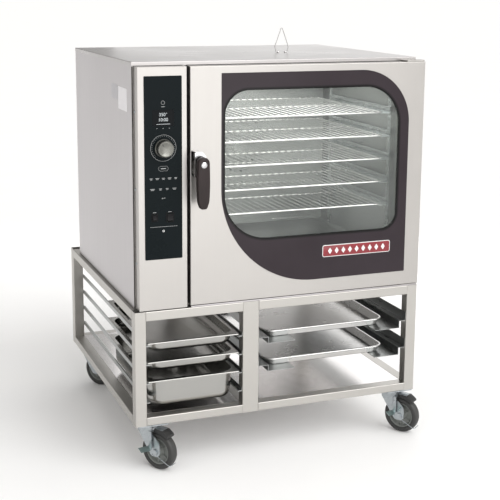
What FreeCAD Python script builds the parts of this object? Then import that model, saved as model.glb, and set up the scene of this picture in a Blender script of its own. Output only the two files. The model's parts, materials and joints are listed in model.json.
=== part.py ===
"""Combi steamer oven on a wheeled stand, with its pans.

Every sub-part is drawn in the stand's own coordinates: millimetres, +X to the
right, +Y to the back, +Z up, zero at the front left bottom corner of the
stand's frame.  At the end the whole assembly is moved so that the origin is on
the floor, in the middle of the footprint.
"""
import FreeCAD
import Part
import math
import os

Vector = FreeCAD.Vector
X_AXIS = Vector(1, 0, 0)
Y_AXIS = Vector(0, 1, 0)
Z_AXIS = Vector(0, 0, 1)

# ---- driving dimensions -------------------------------------------------------

SHEET = 1.5                 # folded stainless sheet
FIT = 0.1                   # radial clearance of a running fit

# stand
STAND_WIDTH = 1022.0
STAND_DEPTH = 950.0
STAND_HEIGHT = 386.0
POST = 38.0                 # square tube of the corner posts
TUBE_WALL = 2.0
CENTRE_POST = (370.0, 427.0)
TOP_RAIL = 32.0
BOTTOM_RAIL = 28.0
RIGHT_POST = STAND_WIDTH - POST

# casters
CASTER_HEIGHT = 162.0
WHEEL_RADIUS = 63.5
WHEEL_WIDTH = 32.0
AXLE_RADIUS = 6.0
CASTER_LEFT = 62.0
CASTER_RIGHT = 969.0
CASTER_INSET = 57.0         # from the front and the back of the frame
CASTER_TRAIL = 42.0
CASTER_TURN = 36.0          # degrees that the trail is turned from straight forwards

# oven body
BODY_LEFT = 12.0
BODY_RIGHT = 1012.0
BODY_FRONT = 47.0
BODY_BACK = 847.0
BODY_TOP = 1178.0
HEADER = 13.0               # folded front lip of the top panel
BODY_HEAD = BODY_TOP - HEADER

# cooking cavity, inside faces
CAVITY_LEFT = 222.0
CAVITY_RIGHT = 944.0
CAVITY_FLOOR = 490.0
CAVITY_CEILING = 1122.0
CAVITY_BACK = 720.0
CAVITY_CORNER = 16.0

# racks
RACK_LEFT = 253.0
RACK_WIDTH = 650.0
RACK_FRONT = 66.0
RACK_DEPTH = 530.0
RACK_LEVELS = (989.0, 909.0, 829.0, 749.0, 669.0)
RACK_FRAME_RADIUS = 3.2
CROSS_ROD_RADIUS = 2.2
RACK_WIRE_RADIUS = 2.0
RACK_WIRE_PITCH = 24.6

# fan and its baffle
FAN_CENTRE = (583.0, 820.0)
FAN_RADIUS = 150.0
BAFFLE_FRONT = 605.0
HEATER_RADIUS = 172.0
HEATER_TUBE_RADIUS = 4.2
HEATER_TURNS = (640.0, 656.0, 672.0)
TERMINAL_OFFSET = 20.0
SHAFT_RADIUS = 8.0

# control column
COVER = (17.0, 178.0)
COVER_FRONT = 2.0
COVER_BOTTOM = 389.0
OVERLAY = (38.0, 161.0)
OVERLAY_BOTTOM = 555.0
OVERLAY_TOP = 1137.0
OVERLAY_THICKNESS = 1.0
KNOB_CENTRE = (100.0, 912.0)
KNOB_TRAVEL = 1.5
DISPLAY = (65.0, 135.0, 981.0, 1032.0)
ROCKERS = {"timer_rocker": (70.0, 691.0, 14.0, 20.0), "power_rocker": (120.0, 689.0, 20.0, 26.0)}
ROCKER_TILT = 8.0

# door
DOOR_LEFT = 188.5
DOOR_RIGHT = 1025.0
DOOR_FRONT = 2.0
DOOR_BACK = 42.0
DOOR_BOTTOM = 392.0
DOOR_TOP = 1164.5
DOOR_PIVOT = (1018.0, 8.0)
HINGE_PIN_RADIUS = 4.0
GLASS_LEFT = 293.0
GLASS_RIGHT = 968.0
GLASS_BOTTOM = 441.0
GLASS_TOP = 1141.0
GLASS_TOP_CORNER = 180.0
GLASS_BOTTOM_CORNER = 330.0
GLASS_PROUD = 1.0
GLASS_THICKNESS = 6.0

# handle
HANDLE_PIVOT = (212.0, 862.0)
HANDLE_BACK = -47.0
HANDLE_THICKNESS = 20.0
HANDLE_WIDTH = 38.0
HANDLE_LENGTH = 141.0
BRACKET = (190.5, 227.5, 820.0, 901.0)
BRACKET_FRONT = -40.0
LATCH_PIVOT_X = 198.0
LATCH_SWING = 5.0
LATCH_PIN_RADIUS = 2.8
LATCH_DISC_RADIUS = 5.8
LATCH_POCKET = ((193.5, 205.0), (852.0, 866.0))

# service connections at the back: x, z, outer radius, bore radius and reach
FITTINGS = {
    "drain": (576.0, 432.0, 25.4, 22.0, 60.0),
    "power_gland": (880.0, 470.0, 20.0, 13.0, 24.0),
    "treated_water": (130.0, 440.0, 13.2, 9.0, 30.0),
    "plain_water": (190.0, 440.0, 13.2, 9.0, 30.0),
}

# pans
HOTEL_PAN = (325.0, 530.0)
HOTEL_PAN_LEFT = 41.5
HOTEL_SLIDE_TOPS = (270.0, 206.0, 142.0, 78.0)
HOTEL_PAN_DEPTHS = (40.0, 40.0, 100.0)
HOTEL_PAN_FRONT = (16.0, 14.0, 10.0)
SHEET_PAN = (457.0, 660.0)
SHEET_PAN_LEFT = 468.0
SHEET_PAN_HEIGHT = 26.0
SHEET_PAN_FRONT = (48.0, 42.0)
SHEET_SLIDE_LEDGES = (234.0, 136.0)


# ---- shape helpers ------------------------------------------------------------

def block(x_span, y_span, z_span):
    """A box from its limits along each axis."""
    size = (x_span[1] - x_span[0], y_span[1] - y_span[0], z_span[1] - z_span[0])
    return Part.makeBox(*size, Vector(x_span[0], y_span[0], z_span[0]))


def rod(start, end, radius):
    """A round bar between two points."""
    start = Vector(*start)
    run = Vector(*end) - start
    return Part.makeCylinder(radius, run.Length, start, run)


def tube(start, end, radius, bore):
    return rod(start, end, radius).cut(rod(start, end, bore))


def fuse(shapes):
    """One solid from overlapping or touching ones, without seams between coplanar faces."""
    shapes = list(shapes)
    return shapes[0].multiFuse(shapes[1:]).removeSplitter()


def rounded(shape, radius, along=None, where=None):
    """Fillet the straight edges that run along one axis and lie where the test says."""
    def wanted(edge):
        if edge.Curve.TypeId != "Part::GeomLine":
            return False
        if along is not None and edge.tangentAt(edge.FirstParameter).cross(along).Length > 1e-6:
            return False
        return where is None or where(edge.CenterOfMass)
    return shape.makeFillet(radius, [edge for edge in shape.Edges if wanted(edge)])


def softened(shape, radius, where):
    """Fillet every edge, straight or curved, whose middle lies where the test says."""
    return shape.makeFillet(radius, [edge for edge in shape.Edges if where(edge.CenterOfMass)])


def corner_outline(corners):
    """A closed wire through corners (point, radius), with a tangent arc at each rounded one."""
    count = len(corners)
    cuts = []
    for index, (point, radius) in enumerate(corners):
        before = (corners[index - 1][0] - point).normalize()
        after = (corners[(index + 1) % count][0] - point).normalize()
        if radius == 0:
            cuts.append((point, None, point))
            continue
        half_angle = before.getAngle(after) / 2
        reach = radius / math.tan(half_angle)
        middle = (before + after).normalize() * (radius / math.sin(half_angle) - radius)
        cuts.append((point + before * reach, point + middle, point + after * reach))
    edges = []
    for index, (start, middle, end) in enumerate(cuts):
        if middle is not None:
            edges.append(Part.Arc(start, middle, end).toShape())
        following = cuts[(index + 1) % count][0]
        if (following - end).Length > 1e-6:
            edges.append(Part.LineSegment(end, following).toShape())
    return Part.Wire(edges)


def front_panel(corners, y_span):
    """A panel facing the front, from (x, z, radius) corners."""
    wire = corner_outline([(Vector(x, y_span[0], z), radius) for x, z, radius in corners])
    return Part.Face(wire).extrude(Vector(0, y_span[1] - y_span[0], 0))


def side_panel(corners, x_span):
    """A panel facing sideways, from (y, z, radius) corners."""
    wire = corner_outline([(Vector(x_span[0], y, z), radius) for y, z, radius in corners])
    return Part.Face(wire).extrude(Vector(x_span[1] - x_span[0], 0, 0))


def flat_panel(corners, z_span):
    """A level panel, from (x, y, radius) corners."""
    wire = corner_outline([(Vector(x, y, z_span[0]), radius) for x, y, radius in corners])
    return Part.Face(wire).extrude(Vector(0, 0, z_span[1] - z_span[0]))


def rectangle(a_span, b_span, radius):
    """Corners of a rectangle with one radius all round."""
    return [(a_span[0], b_span[0], radius), (a_span[1], b_span[0], radius),
            (a_span[1], b_span[1], radius), (a_span[0], b_span[1], radius)]


def strip_along_y(points, thickness, y_span):
    """A folded sheet strip: an (x, z) line given a thickness and drawn out along Y."""
    pieces = []
    half = thickness / 2
    for (x0, z0), (x1, z1) in zip(points, points[1:]):
        x_span = (min(x0, x1) - half, max(x0, x1) + half)
        z_span = (min(z0, z1) - half, max(z0, z1) + half)
        pieces.append(block(x_span, y_span, z_span))
    return fuse(pieces)


def bent_rod(points, radius, bend):
    """A round bar along a path of straight runs and tangent arcs."""
    points = [Vector(*point) for point in points]
    edges = []
    start = points[0]
    for before, corner, after in zip(points, points[1:], points[2:]):
        back = (before - corner).normalize()
        on = (after - corner).normalize()
        half_angle = back.getAngle(on) / 2
        reach = bend / math.tan(half_angle)
        middle = corner + (back + on).normalize() * (bend / math.sin(half_angle) - bend)
        edges.append(Part.LineSegment(start, corner + back * reach).toShape())
        edges.append(Part.Arc(corner + back * reach, middle, corner + on * reach).toShape())
        start = corner + on * reach
    edges.append(Part.LineSegment(start, points[-1]).toShape())
    path = Part.Wire(edges)
    profile = Part.Wire([Part.makeCircle(radius, points[0], points[1] - points[0])])
    return path.makePipeShell([profile], True, True)


# ---- stand --------------------------------------------------------------------

POST_COLUMNS = ((0.0, POST), CENTRE_POST, (RIGHT_POST, STAND_WIDTH))
POST_ROWS = ((0.0, POST), (STAND_DEPTH - POST, STAND_DEPTH))


def hollow_tube(x_span, y_span, z_span, along):
    """A square tube with rounded long edges; along is the index of its long axis."""
    axes = (X_AXIS, Y_AXIS, Z_AXIS)
    outer = rounded(block(x_span, y_span, z_span), 2.5, axes[along])
    inner_spans = []
    for index, span in enumerate((x_span, y_span, z_span)):
        inset = -1.0 if index == along else TUBE_WALL
        inner_spans.append((span[0] + inset, span[1] - inset))
    return outer.cut(block(*inner_spans))


def stand_frame():
    """Six upright posts, and the rails between them at the top and the bottom."""
    tubes = []
    for x_span in POST_COLUMNS:
        for y_span in POST_ROWS:
            tubes.append(hollow_tube(x_span, y_span, (0.0, STAND_HEIGHT), 2))
    rail_heights = ((0.0, BOTTOM_RAIL), (STAND_HEIGHT - TOP_RAIL, STAND_HEIGHT))
    for z_span in rail_heights:
        for y_span in POST_ROWS:
            for left, right in zip(POST_COLUMNS, POST_COLUMNS[1:]):
                tubes.append(hollow_tube((left[1], right[0]), y_span, z_span, 0))
        for x_span in POST_COLUMNS:
            tubes.append(hollow_tube(x_span, (POST, STAND_DEPTH - POST), z_span, 1))
    return Part.makeCompound(tubes)


def stand_shelf():
    """Bottom shelf in two bays, each a sheet with a short lip folded down all round."""
    bays = []
    for left, right in zip(POST_COLUMNS, POST_COLUMNS[1:]):
        span = (left[1], right[0])
        sheet = block(span, (POST, STAND_DEPTH - POST), (BOTTOM_RAIL - 20, BOTTOM_RAIL))
        inside = block((span[0] + SHEET, span[1] - SHEET), (POST + SHEET, STAND_DEPTH - POST - SHEET),
                       (BOTTOM_RAIL - 21, BOTTOM_RAIL - SHEET))
        bays.append(sheet.cut(inside))
    return Part.makeCompound(bays)


def hotel_pan_slides():
    """Four pairs of angles that carry the food pans by their flanges, their upright legs outside."""
    ledge = 13.5
    rise = 11.0
    y_span = (6.0, STAND_DEPTH - 6.0)
    angles = []
    for top in HOTEL_SLIDE_TOPS:
        for wall, side in ((POST, 1), (CENTRE_POST[0], -1)):
            reach = sorted((wall, wall + side * ledge))
            leg = sorted((wall, wall + side * SHEET))
            shelf = block(reach, y_span, (top - 3.0, top))
            web = block(leg, y_span, (top - 3.0, top + rise))
            edge = wall + side * ledge
            angle = fuse([shelf, web])
            angles.append(rounded(angle, 1.4, Y_AXIS, lambda point, x=edge: abs(point.x - x) < 1))
    return Part.makeCompound(angles)


def sheet_pan_slides():
    """Two pairs of stepped sheet-metal brackets that carry the baking pans.

    A left one is held by a short tab on each post, a right one by its full-length wall.
    """
    step = 21.0
    tab_rise = 20.0
    y_span = (4.0, STAND_DEPTH - 4.0)
    tab_spans = ((y_span[0], POST - 2), (STAND_DEPTH - POST + 2, y_span[1]))
    wall_left = CENTRE_POST[1] + SHEET / 2
    wall_right = RIGHT_POST - SHEET / 2
    brackets = []
    for ledge in SHEET_SLIDE_LEDGES:
        height = ledge - SHEET / 2
        shelf_z = height + step
        left = ((wall_left, shelf_z), (463.5, shelf_z), (463.5, height), (561.0, height))
        tab_line = ((wall_left, shelf_z + tab_rise), (wall_left, shelf_z))
        tabs = [strip_along_y(tab_line, SHEET, tab_span) for tab_span in tab_spans]
        right = ((wall_right, shelf_z + 34), (wall_right, shelf_z + 4), (959.0, shelf_z + 4),
                 (959.0, height), (866.0, height))
        brackets.append(fuse([strip_along_y(left, SHEET, y_span)] + tabs))
        brackets.append(strip_along_y(right, SHEET, y_span))
    return Part.makeCompound(brackets)


# ---- casters ------------------------------------------------------------------
# Each caster is drawn about its own swivel axis, its top at z = 0 and its wheel
# trailing towards -Y, and is then turned and moved to its corner.

WHEEL_Z = WHEEL_RADIUS - CASTER_HEIGHT
CROWN_TOP = -10.5
LEG_INSIDE = WHEEL_WIDTH / 2 + 4.5
LEG_SHEET = 3.5
BRAKE_PIVOT = (-8.0, -27.0)
SHOE_GAP = 0.6
PIN_REACH = LEG_INSIDE - 0.5

CORNERS = {
    "front_left": (CASTER_LEFT, CASTER_INSET),
    "front_right": (CASTER_RIGHT, CASTER_INSET),
    "rear_left": (CASTER_LEFT, STAND_DEPTH - CASTER_INSET),
    "rear_right": (CASTER_RIGHT, STAND_DEPTH - CASTER_INSET),
}


def caster_plate():
    """Mounting plate with four bolt holes and the fixed upper ball race."""
    plate = flat_panel(rectangle((-51, 51), (-57, 57), 8), (-4.0, 0.0))
    race = rod((0, 0, CROWN_TOP + 0.5), (0, 0, -4.0), 29.0)
    holes = [rod((x, y, -5), (x, y, 1), 5.0) for x in (-38, 38) for y in (-44, 44)]
    return fuse([plate, race]).cut(Part.makeCompound(holes))


def caster_fork():
    """Lower race and crown, two pressed legs, and the axle bolt with its nuts."""
    crown = rounded(block((-LEG_INSIDE - LEG_SHEET, LEG_INSIDE + LEG_SHEET), (-28, 28), (-20, -15)), 2, Y_AXIS)
    race = rod((0, 0, -15), (0, 0, CROWN_TOP), 27.0)
    axle_y = -CASTER_TRAIL
    foot = WHEEL_Z - 16
    outline = [(28, -16, 0), (30, -34, 10), (axle_y + 18, foot, 16), (axle_y - 18, foot, 16),
               (axle_y - 17, -66, 26), (-28, -38, 8), (-28, -16, 0)]
    legs = []
    for side in (-1, 1):
        inner = side * LEG_INSIDE
        outer = side * (LEG_INSIDE + LEG_SHEET)
        legs.append(side_panel(outline, sorted((inner, outer))))
    bolt = rod((-LEG_INSIDE - 8, axle_y, WHEEL_Z), (LEG_INSIDE + 8, axle_y, WHEEL_Z), AXLE_RADIUS)
    ends = []
    for side in (-1, 1):
        near = side * (LEG_INSIDE + LEG_SHEET)
        ends.append(hex_prism((near, axle_y, WHEEL_Z), side * 5.5, 10.5))
    return fuse([crown, race, bolt] + legs + ends)


def hex_prism(centre, reach, radius):
    """A hexagon nut or bolt head on the X axis."""
    points = []
    for index in range(7):
        angle = math.radians(60 * index)
        points.append(Vector(0, radius * math.cos(angle), radius * math.sin(angle)) + Vector(*centre))
    return Part.Face(Part.makePolygon(points)).extrude(Vector(reach, 0, 0))


def caster_wheel():
    """Moulded rubber tyre on a hub with a recessed web and a plain bearing."""
    half = WHEEL_WIDTH / 2
    centre = Vector(0, -CASTER_TRAIL, WHEEL_Z)

    def ring(outer, inner, width):
        start = (-width, centre.y, centre.z)
        end = (width, centre.y, centre.z)
        return tube(start, end, outer, inner)
    tyre = softened(ring(WHEEL_RADIUS, 45.0, half), 7.0,
                    lambda point: abs(abs(point.x) - half) < 0.01 and farther(point, centre, 50))
    rim = ring(44.99, 38.0, half - 2)
    web = ring(38.2, 16.0, 4.0)
    boss = ring(17.0, AXLE_RADIUS + FIT, half + 3)
    return Part.makeCompound([tyre, fuse([rim, web, boss])])


def farther(point, centre, distance):
    """Is an edge's middle, or its whole circle, that far out from the X axis through centre?"""
    return math.hypot(point.y - centre.y, point.z - centre.z) > distance or \
        math.hypot(point.y - centre.y, point.z - centre.z) < 1e-6


def caster_brake():
    """Foot brake: a shoe over the tread on a pivoted arm, and a tab at the side to lift it."""
    shoe_radius = WHEEL_RADIUS + SHOE_GAP
    sector = side_panel([(-31, -42, 2), (-31, -20.5, 2), (-68, -22, 4), (-91, -40, 3), (-79, -52, 3)], (-19, 19))
    clear_wheel = rod((-30, -CASTER_TRAIL, WHEEL_Z), (30, -CASTER_TRAIL, WHEEL_Z), shoe_radius)
    shoe = sector.cut(clear_wheel)
    arm_z = (-30.0, -26.0)
    past_nut = LEG_INSIDE + LEG_SHEET + 6.2
    outer = past_nut + 3.0
    bridge = block((-outer, 0), (-32, -28.5), arm_z)
    drop = block((-outer, -past_nut), (-32, -18), (-90, arm_z[1]))
    tab = block((-outer - 51, -past_nut), (-32, -12), (-93, -90))
    pivot_y, pivot_z = BRAKE_PIVOT
    pin = rod((-PIN_REACH, pivot_y, pivot_z), (PIN_REACH, pivot_y, pivot_z), 2.6)
    cheeks = [block(sorted((side * 14, side * 17)), (-33, pivot_y), (pivot_z - 2.4, pivot_z + 2.4)) for side in (-1, 1)]
    return fuse([shoe, bridge, drop, tab, pin] + cheeks)


def placed_caster(shape, corner):
    """Turn a caster piece about its swivel axis and move it to its corner."""
    shape = shape.copy()
    shape.rotate(Vector(0, 0, 0), Z_AXIS, CASTER_TURN)
    shape.translate(Vector(corner[0], corner[1], 0))
    return shape


def caster_plates():
    plates = []
    for corner in CORNERS.values():
        plate = caster_plate()
        plate.translate(Vector(corner[0], corner[1], 0))
        plates.append(plate)
    return Part.makeCompound(plates)


# ---- oven body ----------------------------------------------------------------

FLANGE = 18.0


def folded_side(outer_x, side):
    """Side panel: a flat sheet with flanges folded inwards along all four edges."""
    x_span = sorted((outer_x, outer_x - side * FLANGE))
    inner_x = sorted((outer_x - side * SHEET, outer_x - side * (FLANGE + 1)))
    outer = block(x_span, (BODY_FRONT + 2, BODY_BACK - 2), (STAND_HEIGHT + 2, BODY_HEAD))
    inner = block(inner_x, (BODY_FRONT + 2 + SHEET, BODY_BACK - 2 - SHEET),
                  (STAND_HEIGHT + 2 + SHEET, BODY_HEAD - SHEET))
    outer = rounded(outer, 2.0, Z_AXIS, lambda point: abs(point.x - outer_x) < 1)
    return outer.cut(inner)


def top_panel():
    """Top sheet with its edges folded down into a low header, and the saddles welded to it."""
    spans = ((BODY_LEFT, BODY_RIGHT), (BODY_FRONT, BODY_BACK), (BODY_HEAD, BODY_TOP))
    outer = rounded(block(*spans), 2.0, None, lambda point: abs(point.z - BODY_TOP) < 1)
    inner = block((BODY_LEFT + SHEET, BODY_RIGHT - SHEET), (BODY_FRONT + SHEET, BODY_BACK - SHEET),
                  (BODY_HEAD - 1, BODY_TOP - SHEET))
    return Part.makeCompound([outer.cut(inner)] + bail_saddles())


def back_panel():
    """Rear sheet with two banks of cooling slots."""
    inset = 22.0
    sheet = block((BODY_LEFT + inset, BODY_RIGHT - inset), (BODY_BACK - 2 - SHEET, BODY_BACK - 2),
                  (STAND_HEIGHT + 6, BODY_HEAD - 2))
    slots = []
    for bank_left in (90.0, 700.0):
        for row in range(9):
            z = 980.0 + 14.0 * row
            slots.append(block((bank_left, bank_left + 200), (BODY_BACK - 10, BODY_BACK + 10), (z, z + 5)))
    bores = [rod((x, BODY_BACK - 10, z), (x, BODY_BACK + 10, z), bore) for x, z, _, bore, _ in FITTINGS.values()]
    return sheet.cut(Part.makeCompound(slots + bores))


def base_pan():
    """Bottom sheet of the oven body, which stands on the stand's top rails."""
    return block((BODY_LEFT + 2, BODY_RIGHT - 2), (BODY_FRONT + 6, BODY_BACK - 6), (STAND_HEIGHT, STAND_HEIGHT + 2))


def front_frame():
    """Front sheet round the cavity mouth, with a pocket for the latch cam."""
    sheet = block((BODY_LEFT, BODY_RIGHT), (BODY_FRONT, BODY_FRONT + 2), (STAND_HEIGHT + 2.5, BODY_HEAD))
    mouth = front_panel(rectangle((CAVITY_LEFT, CAVITY_RIGHT), (CAVITY_FLOOR, CAVITY_CEILING), CAVITY_CORNER),
                        (BODY_FRONT - 1, BODY_FRONT + 3))
    pocket = block(LATCH_POCKET[0], (BODY_FRONT - 1, BODY_FRONT + 3), LATCH_POCKET[1])
    return sheet.cut(mouth).cut(pocket)


def cavity_liner():
    """Welded oven chamber: five walls, open at the front, with a hole for the fan shaft."""
    y_span = (BODY_FRONT + 2, CAVITY_BACK + SHEET)
    outer = block((CAVITY_LEFT - SHEET, CAVITY_RIGHT + SHEET), y_span,
                  (CAVITY_FLOOR - SHEET, CAVITY_CEILING + SHEET))
    inner = block((CAVITY_LEFT, CAVITY_RIGHT), (y_span[0] - 1, CAVITY_BACK), (CAVITY_FLOOR, CAVITY_CEILING))
    outer = rounded(outer, CAVITY_CORNER + SHEET, Y_AXIS)
    inner = rounded(inner, CAVITY_CORNER, Y_AXIS)
    x, z = FAN_CENTRE
    shaft_hole = rod((x, CAVITY_BACK - 5, z), (x, CAVITY_BACK + 5, z), 14.0)
    terminals = [rod((x, CAVITY_BACK - 5, z), (x, CAVITY_BACK + 5, z), HEATER_TUBE_RADIUS + 1)
                 for x, z in heater_terminals()]
    return outer.cut(inner).cut(Part.makeCompound([shaft_hole] + terminals))


def door_gasket():
    """Silicone seal round the cavity mouth, a closed loop with a soft lip."""
    y_span = (DOOR_BACK + 0.4, BODY_FRONT)
    outer = front_panel(rectangle((CAVITY_LEFT - 16, CAVITY_RIGHT + 16),
                                  (CAVITY_FLOOR - 16, CAVITY_CEILING + 16), 28), y_span)
    inner = front_panel(rectangle((CAVITY_LEFT - 4, CAVITY_RIGHT + 4),
                                  (CAVITY_FLOOR - 4, CAVITY_CEILING + 4), 18), (y_span[0] - 1, y_span[1] + 1))
    return outer.cut(inner)


def rack_guides():
    """Two punched uprights on each side wall, with an angle under each rack."""
    pieces = []
    ledge_drop = RACK_FRAME_RADIUS + 0.1
    for wall, side in ((CAVITY_LEFT, 1), (CAVITY_RIGHT, -1)):
        stand_off = wall + side * 14
        upright_x = sorted((stand_off, stand_off - side * 2))
        ledge_x = sorted((stand_off, stand_off + side * 34))
        for y in (GUIDE_FRONT, GUIDE_BACK - 20):
            upright = block(upright_x, (y, y + 20), (CAVITY_FLOOR + 15, CAVITY_CEILING - 15))
            punched = [block((wall - 1, wall + side * 20) if side > 0 else (wall - 20, wall + 1),
                             (y + 6, y + 14), (z, z + 6)) for z in frange(CAVITY_FLOOR + 30, 1100, 20)]
            pieces.append(upright.cut(Part.makeCompound(punched)))
            for z in (CAVITY_FLOOR + 40, CAVITY_CEILING - 40):
                pieces.append(rod((wall, y + 10, z + 3), (stand_off - side * 2, y + 10, z + 3), 5.0))
        for level in RACK_LEVELS:
            top = level - ledge_drop
            ledge = block(ledge_x, (GUIDE_FRONT, GUIDE_BACK), (top - SHEET, top))
            web_x = sorted((stand_off, stand_off + side * SHEET))
            web = block(web_x, (GUIDE_FRONT, GUIDE_BACK), (top - SHEET, top + 22))
            pieces.append(fuse([ledge, web]))
    return Part.makeCompound(pieces)


GUIDE_FRONT = 62.0
GUIDE_BACK = 552.0


def frange(start, stop, step):
    """Evenly spaced values from start up to stop."""
    return [start + step * index for index in range(int((stop - start) / step) + 1)]


def wire_rack(level):
    """A welded oven rack: a rod frame, two cross rods and closely spaced wires on top."""
    left = RACK_LEFT + RACK_FRAME_RADIUS
    right = RACK_LEFT + RACK_WIDTH - RACK_FRAME_RADIUS
    front = RACK_FRONT + RACK_FRAME_RADIUS
    back = RACK_FRONT + RACK_DEPTH - RACK_FRAME_RADIUS
    rods = []
    for y in (front, back):
        rods.append(rod((left, y, level), (right, y, level), RACK_FRAME_RADIUS))
    for x in (left, right):
        rods.append(rod((x, front, level), (x, back, level), RACK_FRAME_RADIUS))
    for x in (left, right):
        for y in (front, back):
            rods.append(Part.makeSphere(RACK_FRAME_RADIUS, Vector(x, y, level)))
    middle = (front + back) / 2
    rods.append(rod((left, middle, level - 1), (right, middle, level - 1), CROSS_ROD_RADIUS))
    wire_z = level + 2.0
    for x in frange(left + RACK_WIRE_PITCH, right - 5, RACK_WIRE_PITCH):
        rods.append(rod((x, front - 1, wire_z), (x, back + 1, wire_z), RACK_WIRE_RADIUS))
    return rods[0].multiFuse(rods[1:])


# ---- fan, heat and steam --------------------------------------------------------

def fan_baffle():
    """Sheet that hides the fan: a round intake with ribs, and return slots at its sides."""
    x, z = FAN_CENTRE
    y_span = (BAFFLE_FRONT, BAFFLE_FRONT + SHEET)
    sheet = front_panel(rectangle((CAVITY_LEFT + 16, CAVITY_RIGHT - 16), (CAVITY_FLOOR + 22, CAVITY_CEILING - 22), 6),
                        y_span)
    through = (BAFFLE_FRONT - 1, BAFFLE_FRONT + 3)
    holes = []
    for radius in (36, 58, 80, 102):
        count = int(2 * math.pi * radius / 22)
        for index in range(count):
            angle = 2 * math.pi * index / count
            centre = (x + radius * math.cos(angle), z + radius * math.sin(angle))
            holes.append(rod((centre[0], through[0], centre[1]), (centre[0], through[1], centre[1]), 6.5))
    feet = [block((foot - 10, foot + 10), (y_span[1], CAVITY_BACK), (z_foot, z_foot + 3))
            for foot in (CAVITY_LEFT + 60, CAVITY_RIGHT - 60) for z_foot in (CAVITY_FLOOR + 30, CAVITY_CEILING - 33)]
    return fuse([sheet.cut(Part.makeCompound(holes))] + feet)


def convection_fan():
    """Centrifugal wheel: back plate, curved blades, front ring, hub and motor shaft."""
    x, z = FAN_CENTRE
    plate = tube((x, 690, z), (x, 692, z), FAN_RADIUS, SHAFT_RADIUS)
    ring = tube((x, 638, z), (x, 640, z), FAN_RADIUS, 112.0)
    hub = rod((x, 676, z), (x, 704, z), 20.0)
    shaft = rod((x, 670, z), (x, 780, z), SHAFT_RADIUS)
    blade_count = 16
    blades = []
    for index in range(blade_count):
        blade = block((x + 96, x + 148), (639, 691), (z - 1, z + 1))
        blade.rotate(Vector(x + 96, 0, z), Y_AXIS, 28)
        blade.rotate(Vector(x, 0, z), Y_AXIS, 360.0 * index / blade_count)
        blades.append(blade)
    trim = rod((x, 630, z), (x, 710, z), FAN_RADIUS)
    blades = Part.makeCompound(blades).common(trim)
    return fuse([plate, ring, hub, shaft] + blades.Solids)


def fan_motor():
    """Motor behind the chamber, with a flange, a finned can and a bore for the shaft."""
    x, z = FAN_CENTRE
    flange = rod((x, CAVITY_BACK + SHEET + 0.5, z), (x, CAVITY_BACK + 8, z), 78.0)
    can = rod((x, CAVITY_BACK + 8, z), (x, 826, z), 62.0)
    fins = []
    for index in range(20):
        fin = block((x + 60, x + 70), (CAVITY_BACK + 8, 815), (z - 1.5, z + 1.5))
        fin.rotate(Vector(x, 0, z), Y_AXIS, 18.0 * index)
        fins.append(fin)
    bore = rod((x, CAVITY_BACK - 1, z), (x, 785, z), SHAFT_RADIUS + FIT)
    return fuse([flange, can] + fins).cut(bore)


def heater_terminals():
    """Where the heater's two ends pass through the back wall, below the fan."""
    x, z = FAN_CENTRE
    drop = math.sqrt(HEATER_RADIUS ** 2 - TERMINAL_OFFSET ** 2)
    return [(x - TERMINAL_OFFSET, z - drop), (x + TERMINAL_OFFSET, z - drop)]


def heating_element():
    """Three turns of sheathed heater tube round the fan, with two terminals through the back wall."""
    x, z = FAN_CENTRE
    turns = [Part.makeTorus(HEATER_RADIUS, HEATER_TUBE_RADIUS, Vector(x, y, z), Y_AXIS) for y in HEATER_TURNS]
    posts = [rod((x, HEATER_TURNS[0], z), (x, CAVITY_BACK + 25, z), HEATER_TUBE_RADIUS + 0.3)
             for x, z in heater_terminals()]
    return turns[0].multiFuse(turns[1:] + posts)


def steam_generator():
    """Upright boiler behind the controls, with a domed lid, pipe stubs and its bracket."""
    centre = (112.0, 560.0)
    shell = rod((*centre, 420), (*centre, 760), 70.0)
    shell = softened(shell, 18.0, lambda point: point.z > 700)
    outlet = rod((*centre, 750), (*centre, 800), 16.0)
    inlet = rod((centre[0], centre[1], 450), (centre[0], centre[1] + 110, 450), 11.0)
    foot = block((centre[0] - 60, centre[0] + 60), (centre[1] - 50, centre[1] + 50), (STAND_HEIGHT + 2, 421))
    return fuse([shell, outlet, inlet, foot])


def cavity_lamp():
    """Round lamp on the chamber's left wall: a bezel and a heat-proof lens."""
    y, z = 330.0, 1060.0
    bezel = rod((CAVITY_LEFT, y, z), (CAVITY_LEFT + 6, y, z), 32.0)
    lens = softened(rod((CAVITY_LEFT + 6, y, z), (CAVITY_LEFT + 14, y, z), 24.0), 5.0,
                    lambda point: point.x > CAVITY_LEFT + 13)
    return fuse([bezel, lens])


# ---- control column -------------------------------------------------------------

def control_cover():
    """Folded cover over the controls, open at the back, with cut-outs behind the overlay."""
    outer = block(COVER, (COVER_FRONT, BODY_FRONT), (COVER_BOTTOM, BODY_HEAD - 0.5))
    outer = rounded(outer, 2.0, Z_AXIS, lambda point: abs(point.y - COVER_FRONT) < 1)
    inner = block((COVER[0] + SHEET, COVER[1] - SHEET), (COVER_FRONT + SHEET, BODY_FRONT + 1),
                  (COVER_BOTTOM + SHEET, BODY_HEAD - 0.5 - SHEET))
    screws = [rod((COVER[0] - 1, y, z), (COVER[0] + 3, y, z), SCREW_RADIUS) for y, z in SCREW_PLACES]
    return outer.cut(inner).cut(Part.makeCompound(front_cut_outs() + screws))


SCREW_RADIUS = 2.0
SCREW_PLACES = ((30.0, 1025.0), (30.0, 780.0), (30.0, 540.0))


def front_cut_outs():
    """The knob shaft's hole, the display window and the rocker openings."""
    y_span = (COVER_FRONT - 3, COVER_FRONT + 4)
    x, z = KNOB_CENTRE
    cuts = [rod((x, y_span[0], z), (x, y_span[1], z), 4.5)]
    cuts.append(block(DISPLAY[:2], y_span, DISPLAY[2:]))
    for x, z, width, height in ROCKERS.values():
        cuts.append(block((x - width / 2, x + width / 2), y_span, (z - height / 2, z + height / 2)))
    return cuts


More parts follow.
